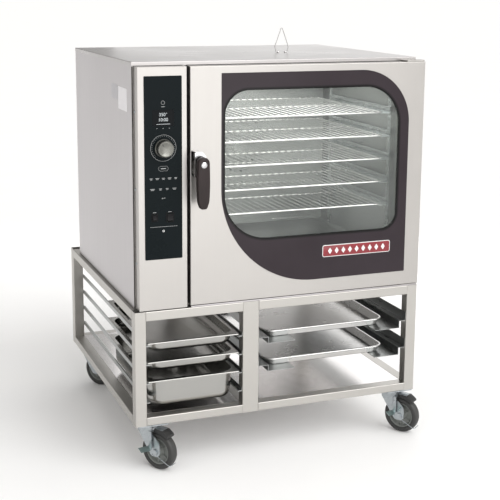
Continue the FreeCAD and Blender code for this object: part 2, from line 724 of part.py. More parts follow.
def control_overlay():
    """Printed overlay on the cover's front, with rounded corners."""
    panel = front_panel(rectangle(OVERLAY, (OVERLAY_BOTTOM, OVERLAY_TOP), 3),
                        (COVER_FRONT - OVERLAY_THICKNESS, COVER_FRONT))
    return panel.cut(Part.makeCompound(front_cut_outs()))


def display_module():
    """Display with its glass just behind the overlay's face."""
    gap = 0.4
    glass = block((DISPLAY[0] + gap, DISPLAY[1] - gap), (COVER_FRONT - 0.6, COVER_FRONT + SHEET + 1),
                  (DISPLAY[2] + gap, DISPLAY[3] - gap))
    case = block((DISPLAY[0] - 4, DISPLAY[1] + 4), (COVER_FRONT + SHEET + 0.5, 18), (DISPLAY[2] - 4, DISPLAY[3] + 4))
    return fuse([glass, case])


def cover_screws():
    """Pan-head screws that hold the cover to the left."""
    screws = []
    for y, z in SCREW_PLACES:
        head = softened(rod((COVER[0] - 2.6, y, z), (COVER[0], y, z), 4.4), 1.6,
                        lambda point: point.x < COVER[0] - 2.5)
        shank = rod((COVER[0], y, z), (COVER[0] + 9, y, z), SCREW_RADIUS)
        screws.append(fuse([head, shank]))
    return Part.makeCompound(screws)


def control_board():
    """Circuit board behind the overlay, on four pillars, with its larger components."""
    board = block((28, 166), (33, 34.6), (640, 1120))
    pillars = [rod((x, COVER_FRONT + SHEET, z), (x, 33, z), 3.0) for x in (33, 161) for z in (650, 1110)]
    relays = [block((40, 66), (34.6, 46), (z, z + 28)) for z in (700, 740, 780)]
    capacitors = [rod((x, 34.6, 860), (x, 46, 860), 9.0) for x in (50, 75, 100)]
    processor = block((90, 120), (34.6, 38), (940, 970))
    return fuse([board, processor] + pillars + relays + capacitors)


def knob_shaft():
    """Encoder shaft that turns the knob and is pushed in with it."""
    x, z = KNOB_CENTRE
    shaft = rod((x, -18, z), (x, 24, z), 3.0)
    collar = rod((x, 10, z), (x, 13, z), 6.0)
    return fuse([shaft, collar])


def control_knob():
    """Brushed knob with a flared skirt and a recessed pointer."""
    x, z = KNOB_CENTRE
    base = -KNOB_TRAVEL
    profile = [(3.0 + FIT, base), (29.0, base), (29.0, base - 5), (26.5, base - 8), (25.5, -29.0),
               (23.5, -31.0), (0.0, -31.0), (0.0, -18.5), (3.0 + FIT, -18.5)]
    points = [Vector(x + radius, y, z) for radius, y in profile]
    face = Part.Face(Part.makePolygon(points + points[:1]))
    return face.revolve(Vector(x, 0, z), Y_AXIS, 360)


def rocker(name):
    """Rocker switch paddle, stored tilted to its off position."""
    x, z, width, height = ROCKERS[name]
    gap = 0.8
    w, h = width / 2 - gap, height / 2 - gap
    paddle = side_panel([(-3.5, z - h, 1.5), (-0.8, z, 30), (-3.5, z + h, 1.5), (9, z + h * 0.6, 1),
                         (9, z - h * 0.6, 1)], (x - w, x + w))
    paddle.rotate(Vector(x, ROCKER_PIVOT_Y, z), X_AXIS, -ROCKER_TILT)
    stub = 0.6
    pin = rod((x - w - stub, ROCKER_PIVOT_Y, z), (x + w + stub, ROCKER_PIVOT_Y, z), ROCKER_PIN_RADIUS)
    return fuse([paddle, pin])


ROCKER_PIVOT_Y = 6.0
ROCKER_PIN_RADIUS = 1.5


# ---- door -------------------------------------------------------------------------

def glass_outline(inset):
    """Corners of the printed glass: two square corners and two sweeping ones."""
    return [(GLASS_LEFT + inset, GLASS_TOP - inset, 2), (GLASS_RIGHT - inset, GLASS_TOP - inset,
            GLASS_TOP_CORNER - inset), (GLASS_RIGHT - inset, GLASS_BOTTOM + inset, 2),
            (GLASS_LEFT + inset, GLASS_BOTTOM + inset, GLASS_BOTTOM_CORNER - inset)]


def door_skin():
    """Door's outer tray: a front sheet with the glass opening, and folded returns."""
    outer = block((DOOR_LEFT, DOOR_RIGHT), (DOOR_FRONT, DOOR_BACK - 3), (DOOR_BOTTOM, DOOR_TOP))
    outer = rounded(outer, 2.5, None, lambda point: abs(point.y - DOOR_FRONT) < 0.1)
    inner = block((DOOR_LEFT + SHEET, DOOR_RIGHT - SHEET), (DOOR_FRONT + SHEET, DOOR_BACK + 1),
                  (DOOR_BOTTOM + SHEET, DOOR_TOP - SHEET))
    opening = front_panel(glass_outline(-0.4), (DOOR_FRONT - 1, DOOR_FRONT + 4))
    cuts = [inner, opening, pin_hole()]
    x, z = HANDLE_PIVOT
    cuts.append(rod((x, DOOR_FRONT - 1, z), (x, DOOR_FRONT + 4, z), 8.0 + FIT))
    return outer.cut(Part.makeCompound(cuts))


def pin_hole():
    x, y = DOOR_PIVOT
    return rod((x, y, DOOR_BOTTOM - 5), (x, y, DOOR_TOP + 5), HINGE_PIN_RADIUS + FIT)


def door_liner():
    """Door's inner tray: closes the back, carries the inner glass and the hinge bushes."""
    margin = SHEET + 0.5
    plate = block((DOOR_LEFT + margin, DOOR_RIGHT - margin), (DOOR_BACK - SHEET, DOOR_BACK),
                  (DOOR_BOTTOM + margin, DOOR_TOP - margin))
    opening = front_panel(rectangle(INNER_WINDOW[0], INNER_WINDOW[1], 40), (DOOR_BACK - 4, DOOR_BACK + 1))
    hook_slot = block(LATCH_POCKET[0], (DOOR_BACK - 4, DOOR_BACK + 1), LATCH_POCKET[1])
    lip_outer = front_panel(rectangle((INNER_WINDOW[0][0] - SHEET, INNER_WINDOW[0][1] + SHEET),
                                      (INNER_WINDOW[1][0] - SHEET, INNER_WINDOW[1][1] + SHEET), 41.5),
                            (GLASS_PROUD + GLASS_THICKNESS + 6, DOOR_BACK))
    lip_inner = front_panel(rectangle(INNER_WINDOW[0], INNER_WINDOW[1], 40), (0, DOOR_BACK + 1))
    flange = block((DOOR_LEFT + margin, DOOR_LEFT + margin + SHEET), (DOOR_FRONT + 4, DOOR_BACK),
                   (DOOR_BOTTOM + margin, DOOR_TOP - margin))
    x, y = DOOR_PIVOT
    bushes = []
    for z_span in ((DOOR_BOTTOM + margin, DOOR_BOTTOM + 20), (DOOR_TOP - 20, DOOR_TOP - margin)):
        lug = block((x - 30, DOOR_RIGHT - margin), (DOOR_FRONT + SHEET + 0.1, DOOR_BACK), z_span)
        bushes.append(lug)
    shell = fuse([plate.cut(opening), lip_outer.cut(lip_inner), flange] + bushes)
    return shell.cut(Part.makeCompound([pin_hole(), hook_slot]))


INNER_WINDOW = ((262.0, 938.0), (560.0, 1112.0))


def door_outer_glass():
    """Outer pane, bonded in the skin's opening and standing a little proud of it."""
    front = DOOR_FRONT - GLASS_PROUD
    pane = front_panel(glass_outline(0), (front, front + GLASS_THICKNESS))
    return softened(pane, 0.8, lambda point: abs(point.y - front) < 0.01)


def door_inner_glass():
    """Inner pane, held in the liner's lip."""
    gap = 0.5
    x_span = (INNER_WINDOW[0][0] + gap, INNER_WINDOW[0][1] - gap)
    z_span = (INNER_WINDOW[1][0] + gap, INNER_WINDOW[1][1] - gap)
    return front_panel(rectangle(x_span, z_span, 39.5), (DOOR_BACK - 10, DOOR_BACK - 5))


def handle_bracket():
    """Chromed bracket: a bent channel with a chamfered top corner, open below, bossed for the lever."""
    left, right, bottom, top = BRACKET
    wall = 3.0
    outer = front_panel([(left, bottom, 2), (left, top, 6), (right - 12, top, 8), (right, top - 16, 8),
                         (right, bottom, 2)], (BRACKET_FRONT, DOOR_FRONT))
    inner = front_panel([(left + wall, bottom - 5, 0), (left + wall, top - wall, 4), (right - 13, top - wall, 6),
                         (right - wall, top - 18, 6), (right - wall, bottom - 5, 0)],
                        (BRACKET_FRONT + wall, DOOR_FRONT + 1))
    x, z = HANDLE_PIVOT
    side_window = block((left - 1, left + wall + 1), (BRACKET_FRONT + 8, DOOR_FRONT - 9), (bottom + 8, top - 30))
    boss = rod((x, BRACKET_FRONT - 5, z), (x, BRACKET_FRONT + 2, z), 15.0)
    bore = rod((x, BRACKET_FRONT - 6, z), (x, DOOR_FRONT + 1, z), 6.0 + FIT)
    return fuse([outer.cut(inner).cut(side_window), boss]).cut(bore)


def handle_lever():
    """Moulded lever: round head, slight outward swell, chamfered foot, on its steel spindle."""
    x, z = HANDLE_PIVOT
    half = HANDLE_WIDTH / 2
    front = HANDLE_BACK - HANDLE_THICKNESS
    foot = z - HANDLE_LENGTH
    swell = 2.0
    outline = [(x - half, z + half + 5, half), (x + half, z + half + 5, half), (x + half + swell, z - 75, 120),
               (x + half - 1, foot + 22, 6), (x + half - 9, foot, 5), (x - half + 9, foot, 5),
               (x - half + 1, foot + 22, 6), (x - half - swell, z - 75, 120)]
    body = front_panel(outline, (front, HANDLE_BACK))
    body = softened(body, 3.0, lambda point: abs(point.y - front) < 0.01 or abs(point.y - HANDLE_BACK) < 0.01)
    cap = softened(rod((x, front - 1.5, z), (x, front + 2, z), 10.5), 1.0, lambda point: point.y < front - 1.4)
    spindle = rod((x, HANDLE_BACK - 1, z), (x, 22, z), 6.0)
    return fuse([body, cap, spindle])


def latch_cam():
    """Latch disc inside the door's free edge, with the pin that reaches into the oven's front."""
    x, z = LATCH_PIVOT_X, HANDLE_PIVOT[1]
    disc = rod((x, 26, z), (x, 31, z), LATCH_DISC_RADIUS)
    pin_z = z - LATCH_SWING
    pin = rod((x, 26, pin_z), (x, 58, pin_z), LATCH_PIN_RADIUS)
    return fuse([disc, pin])


def latch_keeper():
    """Keeper behind the front sheet: an angle whose edge the latch pin closes against."""
    x0, x1 = LATCH_POCKET[0]
    z0, z1 = LATCH_POCKET[1]
    outer = block((x0 - 2, x1 + 2), (BODY_FRONT + 2, BODY_FRONT + 18), (z0 - 2, z1 + 2))
    inner = block((x0, x1), (BODY_FRONT, BODY_FRONT + 16), (z0, z1))
    return outer.cut(inner)


def hinge_brackets():
    """Plates above and below the door, each with its hinge pin."""
    x, y = DOOR_PIVOT
    spans = ((DOOR_TOP + 0.5, DOOR_TOP + 5), (STAND_HEIGHT + 0.2, DOOR_BOTTOM - 0.8))
    pins = ((DOOR_TOP - 16, DOOR_TOP + 2), (DOOR_BOTTOM - 3, DOOR_BOTTOM + 16))
    brackets = []
    for z_span, pin_span in zip(spans, pins):
        plate = flat_panel([(955, y - 6, 6), (DOOR_RIGHT, y - 6, 10), (DOOR_RIGHT, 40, 4), (BODY_RIGHT, BODY_FRONT, 0),
                            (955, BODY_FRONT, 0)], z_span)
        pin = rod((x, y, pin_span[0]), (x, y, pin_span[1]), HINGE_PIN_RADIUS)
        brackets.append(fuse([plate, pin]))
    return Part.makeCompound(brackets)


# ---- fittings ---------------------------------------------------------------------

def rear_fittings():
    """Drain pipe, two water inlets and the power gland, each on a flange against the back."""
    face = BODY_BACK - 2
    fittings = []
    for x, z, radius, bore, reach in FITTINGS.values():
        pipe = rod((x, face, z), (x, face + reach, z), radius)
        flange = rod((x, face, z), (x, face + 4, z), radius + 9)
        hole = rod((x, face - 1, z), (x, face + reach + 1, z), bore)
        fittings.append(fuse([pipe, flange]).cut(hole))
    return Part.makeCompound(fittings)


def wire_bail():
    """Folding wire hanger on the top panel, its two feet turned inwards."""
    x, y = BAIL_PLACE
    foot_z = BODY_TOP + BAIL_FOOT_HEIGHT
    half_foot, half_wide, half_top = 21.0, 26.0, 2.0
    wide_z, top_z = foot_z + 19.0, foot_z + 84.0
    left = [(x - half_foot + 11, y, foot_z), (x - half_foot, y, foot_z), (x - half_wide, y, wide_z),
            (x - half_top, y, top_z)]
    right = [(2 * x - across, y, z) for across, y, z in reversed(left)]
    return bent_rod(left + right, BAIL_WIRE_RADIUS, 1.8)


BAIL_PLACE = (655.0, 380.0)
BAIL_FOOT_HEIGHT = 3.0
BAIL_WIRE_RADIUS = 1.4


def bail_saddles():
    """Two pressed saddles that hold the hanger's feet to the top panel."""
    x, y = BAIL_PLACE
    saddles = []
    for side in (-1, 1):
        span = sorted((x + side * 12.0, x + side * 16.0))
        crest = BODY_TOP + BAIL_FOOT_HEIGHT + BAIL_WIRE_RADIUS + 1.1
        saddle = rounded(block(span, (y - 4, y + 4), (BODY_TOP, crest)), 2.5, X_AXIS, lambda point: point.z > crest - 1)
        axis_z = BODY_TOP + BAIL_FOOT_HEIGHT
        bore = rod((span[0] - 1, y, axis_z), (span[1] + 1, y, axis_z), BAIL_WIRE_RADIUS + FIT)
        saddles.append(saddle.cut(bore))
    return saddles


# ---- pans ---------------------------------------------------------------------------

def rounded_tub(x_span, y_span, z_span, corner, taper):
    """A tapered tub shape with rounded corners, narrower at its bottom."""
    wires = []
    for z, inset in ((z_span[0], taper), (z_span[1], 0.0)):
        corners = rectangle((x_span[0] + inset, x_span[1] - inset), (y_span[0] + inset, y_span[1] - inset),
                            corner - inset / 2)
        wires.append(corner_outline([(Vector(x, y, z), radius) for x, y, radius in corners]))
    return Part.makeLoft(wires, True, True)


def hotel_pan(index):
    """Deep-drawn food pan: a tapered tub with a flat flange and a turned-down edge."""
    width, length = HOTEL_PAN
    depth = HOTEL_PAN_DEPTHS[index]
    top = HOTEL_SLIDE_TOPS[index] + 4.2
    front = HOTEL_PAN_FRONT[index]
    x_span = (HOTEL_PAN_LEFT, HOTEL_PAN_LEFT + width)
    y_span = (front, front + length)
    wall = 1.0
    flange = flat_panel(rectangle(x_span, y_span, 8), (top - 4, top))
    flange = softened(flange, 2.5, lambda point: abs(point.z - top) < 0.01)
    under = flat_panel(rectangle((x_span[0] + wall, x_span[1] - wall), (y_span[0] + wall, y_span[1] - wall), 7),
                       (top - 5, top - wall))
    mouth = 14.5
    corner = 46.0
    taper = 2.0 + depth * 0.03
    heel = 18.0 + depth * 0.12
    tub_x = (x_span[0] + mouth, x_span[1] - mouth)
    tub_y = (y_span[0] + mouth, y_span[1] - mouth)
    outer = rounded_tub(tub_x, tub_y, (top - depth, top), corner, taper)
    outer = softened(outer, heel, lambda point: abs(point.z - top + depth) < 0.01)
    inner = rounded_tub((tub_x[0] + wall, tub_x[1] - wall), (tub_y[0] + wall, tub_y[1] - wall),
                        (top - depth + wall, top + 0.001), corner - wall, taper)
    inner = softened(inner, heel - wall, lambda point: abs(point.z - top + depth - wall) < 0.01)
    return fuse([flange.cut(under), outer]).cut(inner)


def sheet_pan(index):
    """Baking pan: a shallow sloping tub with a rolled wire rim."""
    width, length = SHEET_PAN
    bottom = SHEET_SLIDE_LEDGES[index] + 0.3
    top = bottom + SHEET_PAN_HEIGHT
    front = SHEET_PAN_FRONT[index]
    x_span = (SHEET_PAN_LEFT, SHEET_PAN_LEFT + width)
    y_span = (front, front + length)
    rim = 6.0
    wall = 1.2
    corner = 40.0
    bead = flat_panel(rectangle(x_span, y_span, corner), (top - rim, top))
    bead = softened(bead, 2.7, lambda point: True)
    tub_x = (x_span[0] + rim - wall, x_span[1] - rim + wall)
    tub_y = (y_span[0] + rim - wall, y_span[1] - rim + wall)
    outer = rounded_tub(tub_x, tub_y, (bottom, top - 1), corner - rim + wall, 10.0)
    outer = softened(outer, 3.5, lambda point: abs(point.z - bottom) < 0.01)
    inner = rounded_tub((tub_x[0] + wall, tub_x[1] - wall), (tub_y[0] + wall, tub_y[1] - wall),
                        (bottom + wall, top + 1.5), corner - rim, 10.0)
    return fuse([bead, outer]).cut(inner)


# ---- assembly ---------------------------------------------------------------------

def assembly():
    """Every sub-part by its node name, still in the stand's coordinates."""
    nodes = {
        "stand_frame": stand_frame(),
        "stand_shelf": stand_shelf(),
        "hotel_pan_slides": hotel_pan_slides(),
        "sheet_pan_slides": sheet_pan_slides(),
        "caster_plates": caster_plates(),
        "left_side_panel": folded_side(BODY_LEFT, -1),
        "right_side_panel": folded_side(BODY_RIGHT, 1),
        "top_panel": top_panel(),
        "back_panel": back_panel(),
        "base_pan": base_pan(),
        "front_frame": front_frame(),
        "cavity_liner": cavity_liner(),
        "door_gasket": door_gasket(),
        "rack_guides": rack_guides(),
        "fan_baffle": fan_baffle(),
        "convection_fan": convection_fan(),
        "fan_motor": fan_motor(),
        "heating_element": heating_element(),
        "steam_generator": steam_generator(),
        "cavity_lamp": cavity_lamp(),
        "control_cover": control_cover(),
        "control_overlay": control_overlay(),
        "display_module": display_module(),
        "cover_screws": cover_screws(),
        "control_board": control_board(),
        "knob_shaft": knob_shaft(),
        "control_knob": control_knob(),
        "hinge_brackets": hinge_brackets(),
        "latch_keeper": latch_keeper(),
        "rear_fittings": rear_fittings(),
        "door_skin": door_skin(),
        "door_liner": door_liner(),
        "door_outer_glass": door_outer_glass(),
        "door_inner_glass": door_inner_glass(),
        "handle_bracket": handle_bracket(),
        "handle_lever": handle_lever(),
        "latch_cam": latch_cam(),
        "wire_bail": wire_bail(),
    }
    for name in ROCKERS:
        nodes[name] = rocker(name)
    first_rack = wire_rack(0.0)
    for number, level in enumerate(RACK_LEVELS, 1):
        rack = first_rack.copy()
        rack.translate(Vector(0, 0, level))
        nodes[f"wire_rack_{number}"] = rack
    for index in range(len(HOTEL_PAN_DEPTHS)):
        nodes[f"hotel_pan_{index + 1}"] = hotel_pan(index)
    for index in range(len(SHEET_SLIDE_LEDGES)):
        nodes[f"sheet_pan_{index + 1}"] = sheet_pan(index)
    for name, corner in CORNERS.items():
        nodes[f"caster_fork_{name}"] = placed_caster(caster_fork(), corner)
        nodes[f"caster_wheel_{name}"] = placed_caster(caster_wheel(), corner)
        if name.startswith("front"):
            nodes[f"caster_brake_{name}"] = placed_caster(caster_brake(), corner)
    return nodes


def floor_origin(nodes):
    """The move that puts the origin on the floor, in the middle of the footprint."""
    box = Part.makeCompound(list(nodes.values())).optimalBoundingBox(False, False)
    return Vector(-(box.XMin + box.XMax) / 2, -(box.YMin + box.YMax) / 2, CASTER_HEIGHT)


def write_parts():
    """Move every sub-part to the final origin and write one file each."""
    os.makedirs("parts", exist_ok=True)
    nodes = assembly()
    shift = floor_origin(nodes)
    for name, shape in nodes.items():
        shape.translate(shift)
        shape.exportStep(os.path.join("parts", name + ".step"))
    return nodes, shift


if __name__ == "__main__":
    write_parts()
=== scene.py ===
import json
import math

import bmesh
import bpy
from mathutils import Matrix, Vector


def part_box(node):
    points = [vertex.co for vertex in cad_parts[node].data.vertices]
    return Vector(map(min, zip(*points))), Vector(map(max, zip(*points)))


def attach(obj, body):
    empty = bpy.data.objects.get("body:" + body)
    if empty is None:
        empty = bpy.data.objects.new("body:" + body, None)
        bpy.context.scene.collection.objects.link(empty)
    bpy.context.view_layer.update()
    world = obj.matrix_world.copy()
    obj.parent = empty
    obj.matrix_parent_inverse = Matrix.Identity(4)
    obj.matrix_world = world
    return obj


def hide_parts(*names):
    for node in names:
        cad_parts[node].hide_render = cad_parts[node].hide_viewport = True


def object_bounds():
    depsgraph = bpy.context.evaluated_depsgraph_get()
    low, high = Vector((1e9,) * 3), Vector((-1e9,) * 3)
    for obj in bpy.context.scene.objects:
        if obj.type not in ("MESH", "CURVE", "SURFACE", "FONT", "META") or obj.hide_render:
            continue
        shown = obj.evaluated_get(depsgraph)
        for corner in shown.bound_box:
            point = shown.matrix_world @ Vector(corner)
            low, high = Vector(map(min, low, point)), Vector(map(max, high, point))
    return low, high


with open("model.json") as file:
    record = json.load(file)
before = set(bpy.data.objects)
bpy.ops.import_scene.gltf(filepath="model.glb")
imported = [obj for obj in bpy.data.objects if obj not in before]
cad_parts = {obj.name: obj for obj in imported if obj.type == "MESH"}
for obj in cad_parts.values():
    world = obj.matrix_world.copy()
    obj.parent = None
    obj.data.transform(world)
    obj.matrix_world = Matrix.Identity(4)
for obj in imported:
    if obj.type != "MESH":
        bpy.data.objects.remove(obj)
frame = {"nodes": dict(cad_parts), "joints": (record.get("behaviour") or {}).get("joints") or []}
cad_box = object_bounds()
nodes = frame["nodes"]
joints = {joint["name"]: joint for joint in frame["joints"]}
MM = 0.001


# ---- Studio -------------------------------------------------------------------
# A pale floor that runs to the horizon, an even white surround that is brighter
# at the front right, a broad key lamp, soft cards in front and behind, and the
# camera at standing height.

def aimed(place, yaw, pitch, roll):
    """A camera's placing matrix: yaw turns it from +Y towards +X, pitch looks down."""
    forward = Vector((math.sin(yaw) * math.cos(pitch), math.cos(yaw) * math.cos(pitch), -math.sin(pitch)))
    right = Vector((math.cos(yaw), -math.sin(yaw), 0))
    up = right.cross(forward)
    turned_right = right * math.cos(roll) + up * math.sin(roll)
    turned_up = up * math.cos(roll) - right * math.sin(roll)
    turn = Matrix((turned_right, turned_up, -forward)).transposed().to_4x4()
    return Matrix.Translation(place) @ turn


camera_data = bpy.data.cameras.new("camera")
camera_data.lens = 79.26
camera_data.sensor_width = 36
camera_data.shift_y = -0.11
camera = bpy.data.objects.new("camera", camera_data)
stand_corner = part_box("stand_frame")[0]
camera_place = stand_corner + Vector((-0.8804, -3.2693, 1.4161))
camera.matrix_world = aimed(camera_place, math.radians(21.25), math.radians(10.83), math.radians(0.44))
bpy.context.scene.collection.objects.link(camera)
bpy.context.scene.camera = camera
bpy.context.scene.view_settings.view_transform = "Standard"


def add_node(tree, kind, inputs=(), **settings):
    """A shader node with its settings and inputs; an input is a number, a colour or another node's socket."""
    made = tree.nodes.new(kind)
    for key, value in settings.items():
        setattr(made, key, value)
    for key, value in dict(inputs).items():
        if isinstance(value, bpy.types.NodeSocket):
            tree.links.new(value, made.inputs[key])
        else:
            made.inputs[key].default_value = value
    return made


def surround():
    """World light: a soft white room, dimmer behind and to the left, plain white to the camera."""
    world = bpy.data.worlds.new("studio")
    world.use_nodes = True
    tree = world.node_tree
    tree.nodes.clear()
    direction = add_node(tree, "ShaderNodeTexCoord").outputs["Generated"]
    towards = add_node(tree, "ShaderNodeVectorMath", {0: direction, 1: (0.60, -0.75, 0.28)},
                       operation="DOT_PRODUCT").outputs["Value"]
    level = add_node(tree, "ShaderNodeMapRange", {"Value": towards, "From Min": -0.9, "From Max": 0.9,
                                                  "To Min": 0.36, "To Max": 1.08}).outputs["Result"]
    room = add_node(tree, "ShaderNodeBackground", {"Color": (1.0, 0.985, 0.965, 1), "Strength": level})
    sheet = add_node(tree, "ShaderNodeBackground", {"Color": (1, 1, 1, 1), "Strength": 1.0})
    seen = add_node(tree, "ShaderNodeLightPath").outputs["Is Camera Ray"]
    mixed = add_node(tree, "ShaderNodeMixShader", {0: seen, 1: room.outputs[0], 2: sheet.outputs[0]})
    add_node(tree, "ShaderNodeOutputWorld", {"Surface": mixed.outputs[0]})
    bpy.context.scene.world = world


def lamp(name, kind, place, target, energy, size=1.0, spread=0.0):
    data = bpy.data.lights.new(name, kind)
    data.energy = energy
    if kind == "SUN":
        data.angle = spread
    else:
        data.shape = "RECTANGLE"
        data.size = size
        data.size_y = size
    made = bpy.data.objects.new(name, data)
    turn = (Vector(target) - Vector(place)).to_track_quat("-Z", "Y").to_matrix().to_4x4()
    made.matrix_world = Matrix.Translation(place) @ turn
    bpy.context.scene.collection.objects.link(made)
    return made


surround()
lamp("key", "SUN", (2.5, -5.0, 5.0), (0, 0, 0.6), 1.5, spread=math.radians(50))
lamp("front_card", "AREA", (0.2, -3.9, 1.2), (-0.2, 0, 0.8), 22, size=2.6)
back_card = lamp("back_card", "AREA", (1.5, 2.6, 0.7), (0, 0, 0.5), 20, size=2.6)
back_card.visible_camera = False


def new_material(name):
    material = bpy.data.materials.new(name)
    material.use_nodes = True
    tree = material.node_tree
    return material, tree, tree.nodes["Principled BSDF"]


def speckle(tree, scale, detail=3.0, roughness=0.55, stretch=(1, 1, 1), offset=(0, 0, 0)):
    """Noise on the piece's own coordinates in metres, with its grain drawn out along one axis."""
    place = add_node(tree, "ShaderNodeTexCoord").outputs["Object"]
    mapped = add_node(tree, "ShaderNodeMapping", {"Vector": place, "Scale": stretch, "Location": offset})
    return add_node(tree, "ShaderNodeTexNoise",
                    {"Vector": mapped.outputs[0], "Scale": scale, "Detail": detail,
                                                 "Roughness": roughness}).outputs["Fac"]


def ranged(tree, value, low, high, start=0.3, end=0.7):
    return add_node(tree, "ShaderNodeMapRange", {"Value": value, "From Min": start, "From Max": end,
                                                 "To Min": low, "To Max": high}).outputs["Result"]


def mix_colours(tree, factor, first, second):
    """Blend two colours, each a socket or three numbers."""
    mixed = tree.nodes.new("ShaderNodeMix")
    mixed.data_type = "RGBA"
    for index, value in ((0, factor), (6, first), (7, second)):
        if isinstance(value, bpy.types.NodeSocket):
            tree.links.new(value, mixed.inputs[index])
        else:
            mixed.inputs[index].default_value = (*value, 1) if index else value
    return mixed.outputs[2]


def dress(node_names, material):
    """Give CAD nodes a material in place of their plain one."""
    for name in node_names:
        slots = nodes[name].data.materials
        slots.clear()
        slots.append(material)


def floor_paper():
    material, tree, shader = new_material("floor_paper")
    tone = ranged(tree, speckle(tree, 3.0), 0.0, 1.0)
    tree.links.new(mix_colours(tree, tone, (0.955, 0.955, 0.955), (0.975, 0.975, 0.97)),
                   shader.inputs["Base Color"])
    shader.inputs["Roughness"].default_value = 0.8
    return material


floor_mesh = bmesh.new()
bmesh.ops.create_grid(floor_mesh, x_segments=1, y_segments=1, size=250)
floor_data = bpy.data.meshes.new("floor")
floor_mesh.to_mesh(floor_data)
floor_mesh.free()
floor = bpy.data.objects.new("floor", floor_data)
floor_data.materials.append(floor_paper())
bpy.context.scene.collection.objects.link(floor)


# ---- Oven casing ----------------------------------------------------------------
# Folded 1.5 mm stainless sheet: sides, top, back, base, front frame, control cover
# and the door's outer skin, all satin-brushed and slightly cloudy from wiping.

def brushed_steel(name, colour, shade, stretch, roughness, cloud=3.0, bump=0.03, metallic=1.0):
    """Satin steel: fine parallel brushing, cloudy wipe marks, and a few longer scratches."""
    material, tree, shader = new_material(name)
    grain = speckle(tree, 60, 4, 0.65, stretch)
    scratch = speckle(tree, 9, 2, 0.5, stretch, (3, 7, 1))
    clouds = speckle(tree, cloud, 3, 0.6)
    marks = add_node(tree, "ShaderNodeMath", {0: ranged(tree, grain, 0, 0.35),
                                              1: ranged(tree, clouds, 0, 0.65)},
                     operation="ADD").outputs[0]
    tree.links.new(mix_colours(tree, marks, shade, colour), shader.inputs["Base Color"])
    rubbed = add_node(tree, "ShaderNodeMath", {0: ranged(tree, clouds, -0.03, 0.03),
                                               1: ranged(tree, scratch, roughness - 0.02, roughness + 0.02)},
                      operation="ADD").outputs[0]
    tree.links.new(rubbed, shader.inputs["Roughness"])
    relief = add_node(tree, "ShaderNodeBump", {"Strength": bump, "Distance": 0.0004, "Height": grain})
    tree.links.new(relief.outputs[0], shader.inputs["Normal"])
    shader.inputs["Metallic"].default_value = metallic
    return material


UPRIGHT = (14, 14, 0.25)
LEVEL_X = (0.25, 14, 14)
LEVEL_Y = (14, 0.25, 14)
casing_steel = brushed_steel("casing_steel", (0.50, 0.482, 0.464), (0.475, 0.458, 0.44), UPRIGHT, 0.36)
side_steel = brushed_steel("side_steel", (0.52, 0.50, 0.508), (0.49, 0.47, 0.478), UPRIGHT, 0.34, cloud=1.6)
# The top panel, and the base pan with it, get a lighter copy of the casing steel: a painted highlight for the
# light on the top face.
top_steel_painted_highlight = brushed_steel("top_steel_painted_highlight", (0.74, 0.725, 0.735), (0.70, 0.685, 0.695), LEVEL_X, 0.30)
dress(["front_frame", "control_cover", "door_skin"], casing_steel)
dress(["left_side_panel", "right_side_panel", "back_panel"], side_steel)
dress(["top_panel", "base_pan"], top_steel_painted_highlight)


def keep_painted_highlight_on_top(material, height, colour):
    """Keep the material's painted highlight on faces above a height; the folded lips below it get the
    casing's plain tone.
    """
    tree = material.node_tree
    base_colour = tree.nodes["Principled BSDF"].inputs["Base Color"]
    place = add_node(tree, "ShaderNodeTexCoord").outputs["Object"]
    up = add_node(tree, "ShaderNodeSeparateXYZ", {"Vector": place}).outputs["Z"]
    above = add_node(tree, "ShaderNodeMath", {0: up, 1: height}, operation="GREATER_THAN").outputs[0]
    tree.links.new(mix_colours(tree, above, colour, base_colour.links[0].from_socket), base_colour)


# Painted highlight only on the top panel's upper face; its folded lips keep the casing tone.
keep_painted_highlight_on_top(top_steel_painted_highlight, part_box("top_panel")[1].z - 0.002, (0.47, 0.455, 0.45))


def finished(name, mesh, body, material, angle=35):
    """Turn a bmesh into a piece: doubles merged, faces outwards, smooth but for its sharp edges."""
    bmesh.ops.remove_doubles(mesh, verts=mesh.verts, dist=1e-6)
    bmesh.ops.recalc_face_normals(mesh, faces=mesh.faces)
    data = bpy.data.meshes.new(name)
    mesh.to_mesh(data)
    mesh.free()
    data.shade_smooth()
    data.set_sharp_from_angle(angle=math.radians(angle))
    data.materials.append(material)
    made = bpy.data.objects.new(name, data)
    bpy.context.scene.collection.objects.link(made)
    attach(made, body)
    return made


def add_bar(mesh, low, high, bevel=0.0, segments=2, turn=None):
    """A bevelled bar between two corners."""
    low, high = Vector(low), Vector(high)
    made = bmesh.ops.create_cube(mesh, size=1)["verts"]
    size = high - low
    bmesh.ops.scale(mesh, vec=size, verts=made)
    edges = list({edge for vert in made for edge in vert.link_edges})
    if bevel:
        rounded = bmesh.ops.bevel(mesh, geom=edges, offset=bevel, segments=segments, profile=0.5,
                                  affect="EDGES",
                                  material=-1, clamp_overlap=True)
        made = list({vert for face in rounded["faces"] for vert in face.verts}
                    | {vert for vert in made if vert.is_valid})
    if turn is not None:
        bmesh.ops.transform(mesh, matrix=turn, verts=made)
    bmesh.ops.translate(mesh, vec=(low + high) / 2, verts=made)
    return made


def add_turned(mesh, profile, centre, axis, steps=48):
    """A turned part: a closed profile of (distance along the axis, radius) spun round it."""
    axis = Vector(axis).normalized()
    across = axis.orthogonal().normalized()
    centre = Vector(centre)
    ring = [mesh.verts.new(centre + axis * along + across * radius) for along, radius in profile]
    edges = [mesh.edges.new((first, second)) for first, second in zip(ring, ring[1:])]
    return bmesh.ops.spin(mesh, geom=ring + edges, cent=centre, axis=axis, angle=2 * math.pi, steps=steps,
                          use_merge=True)


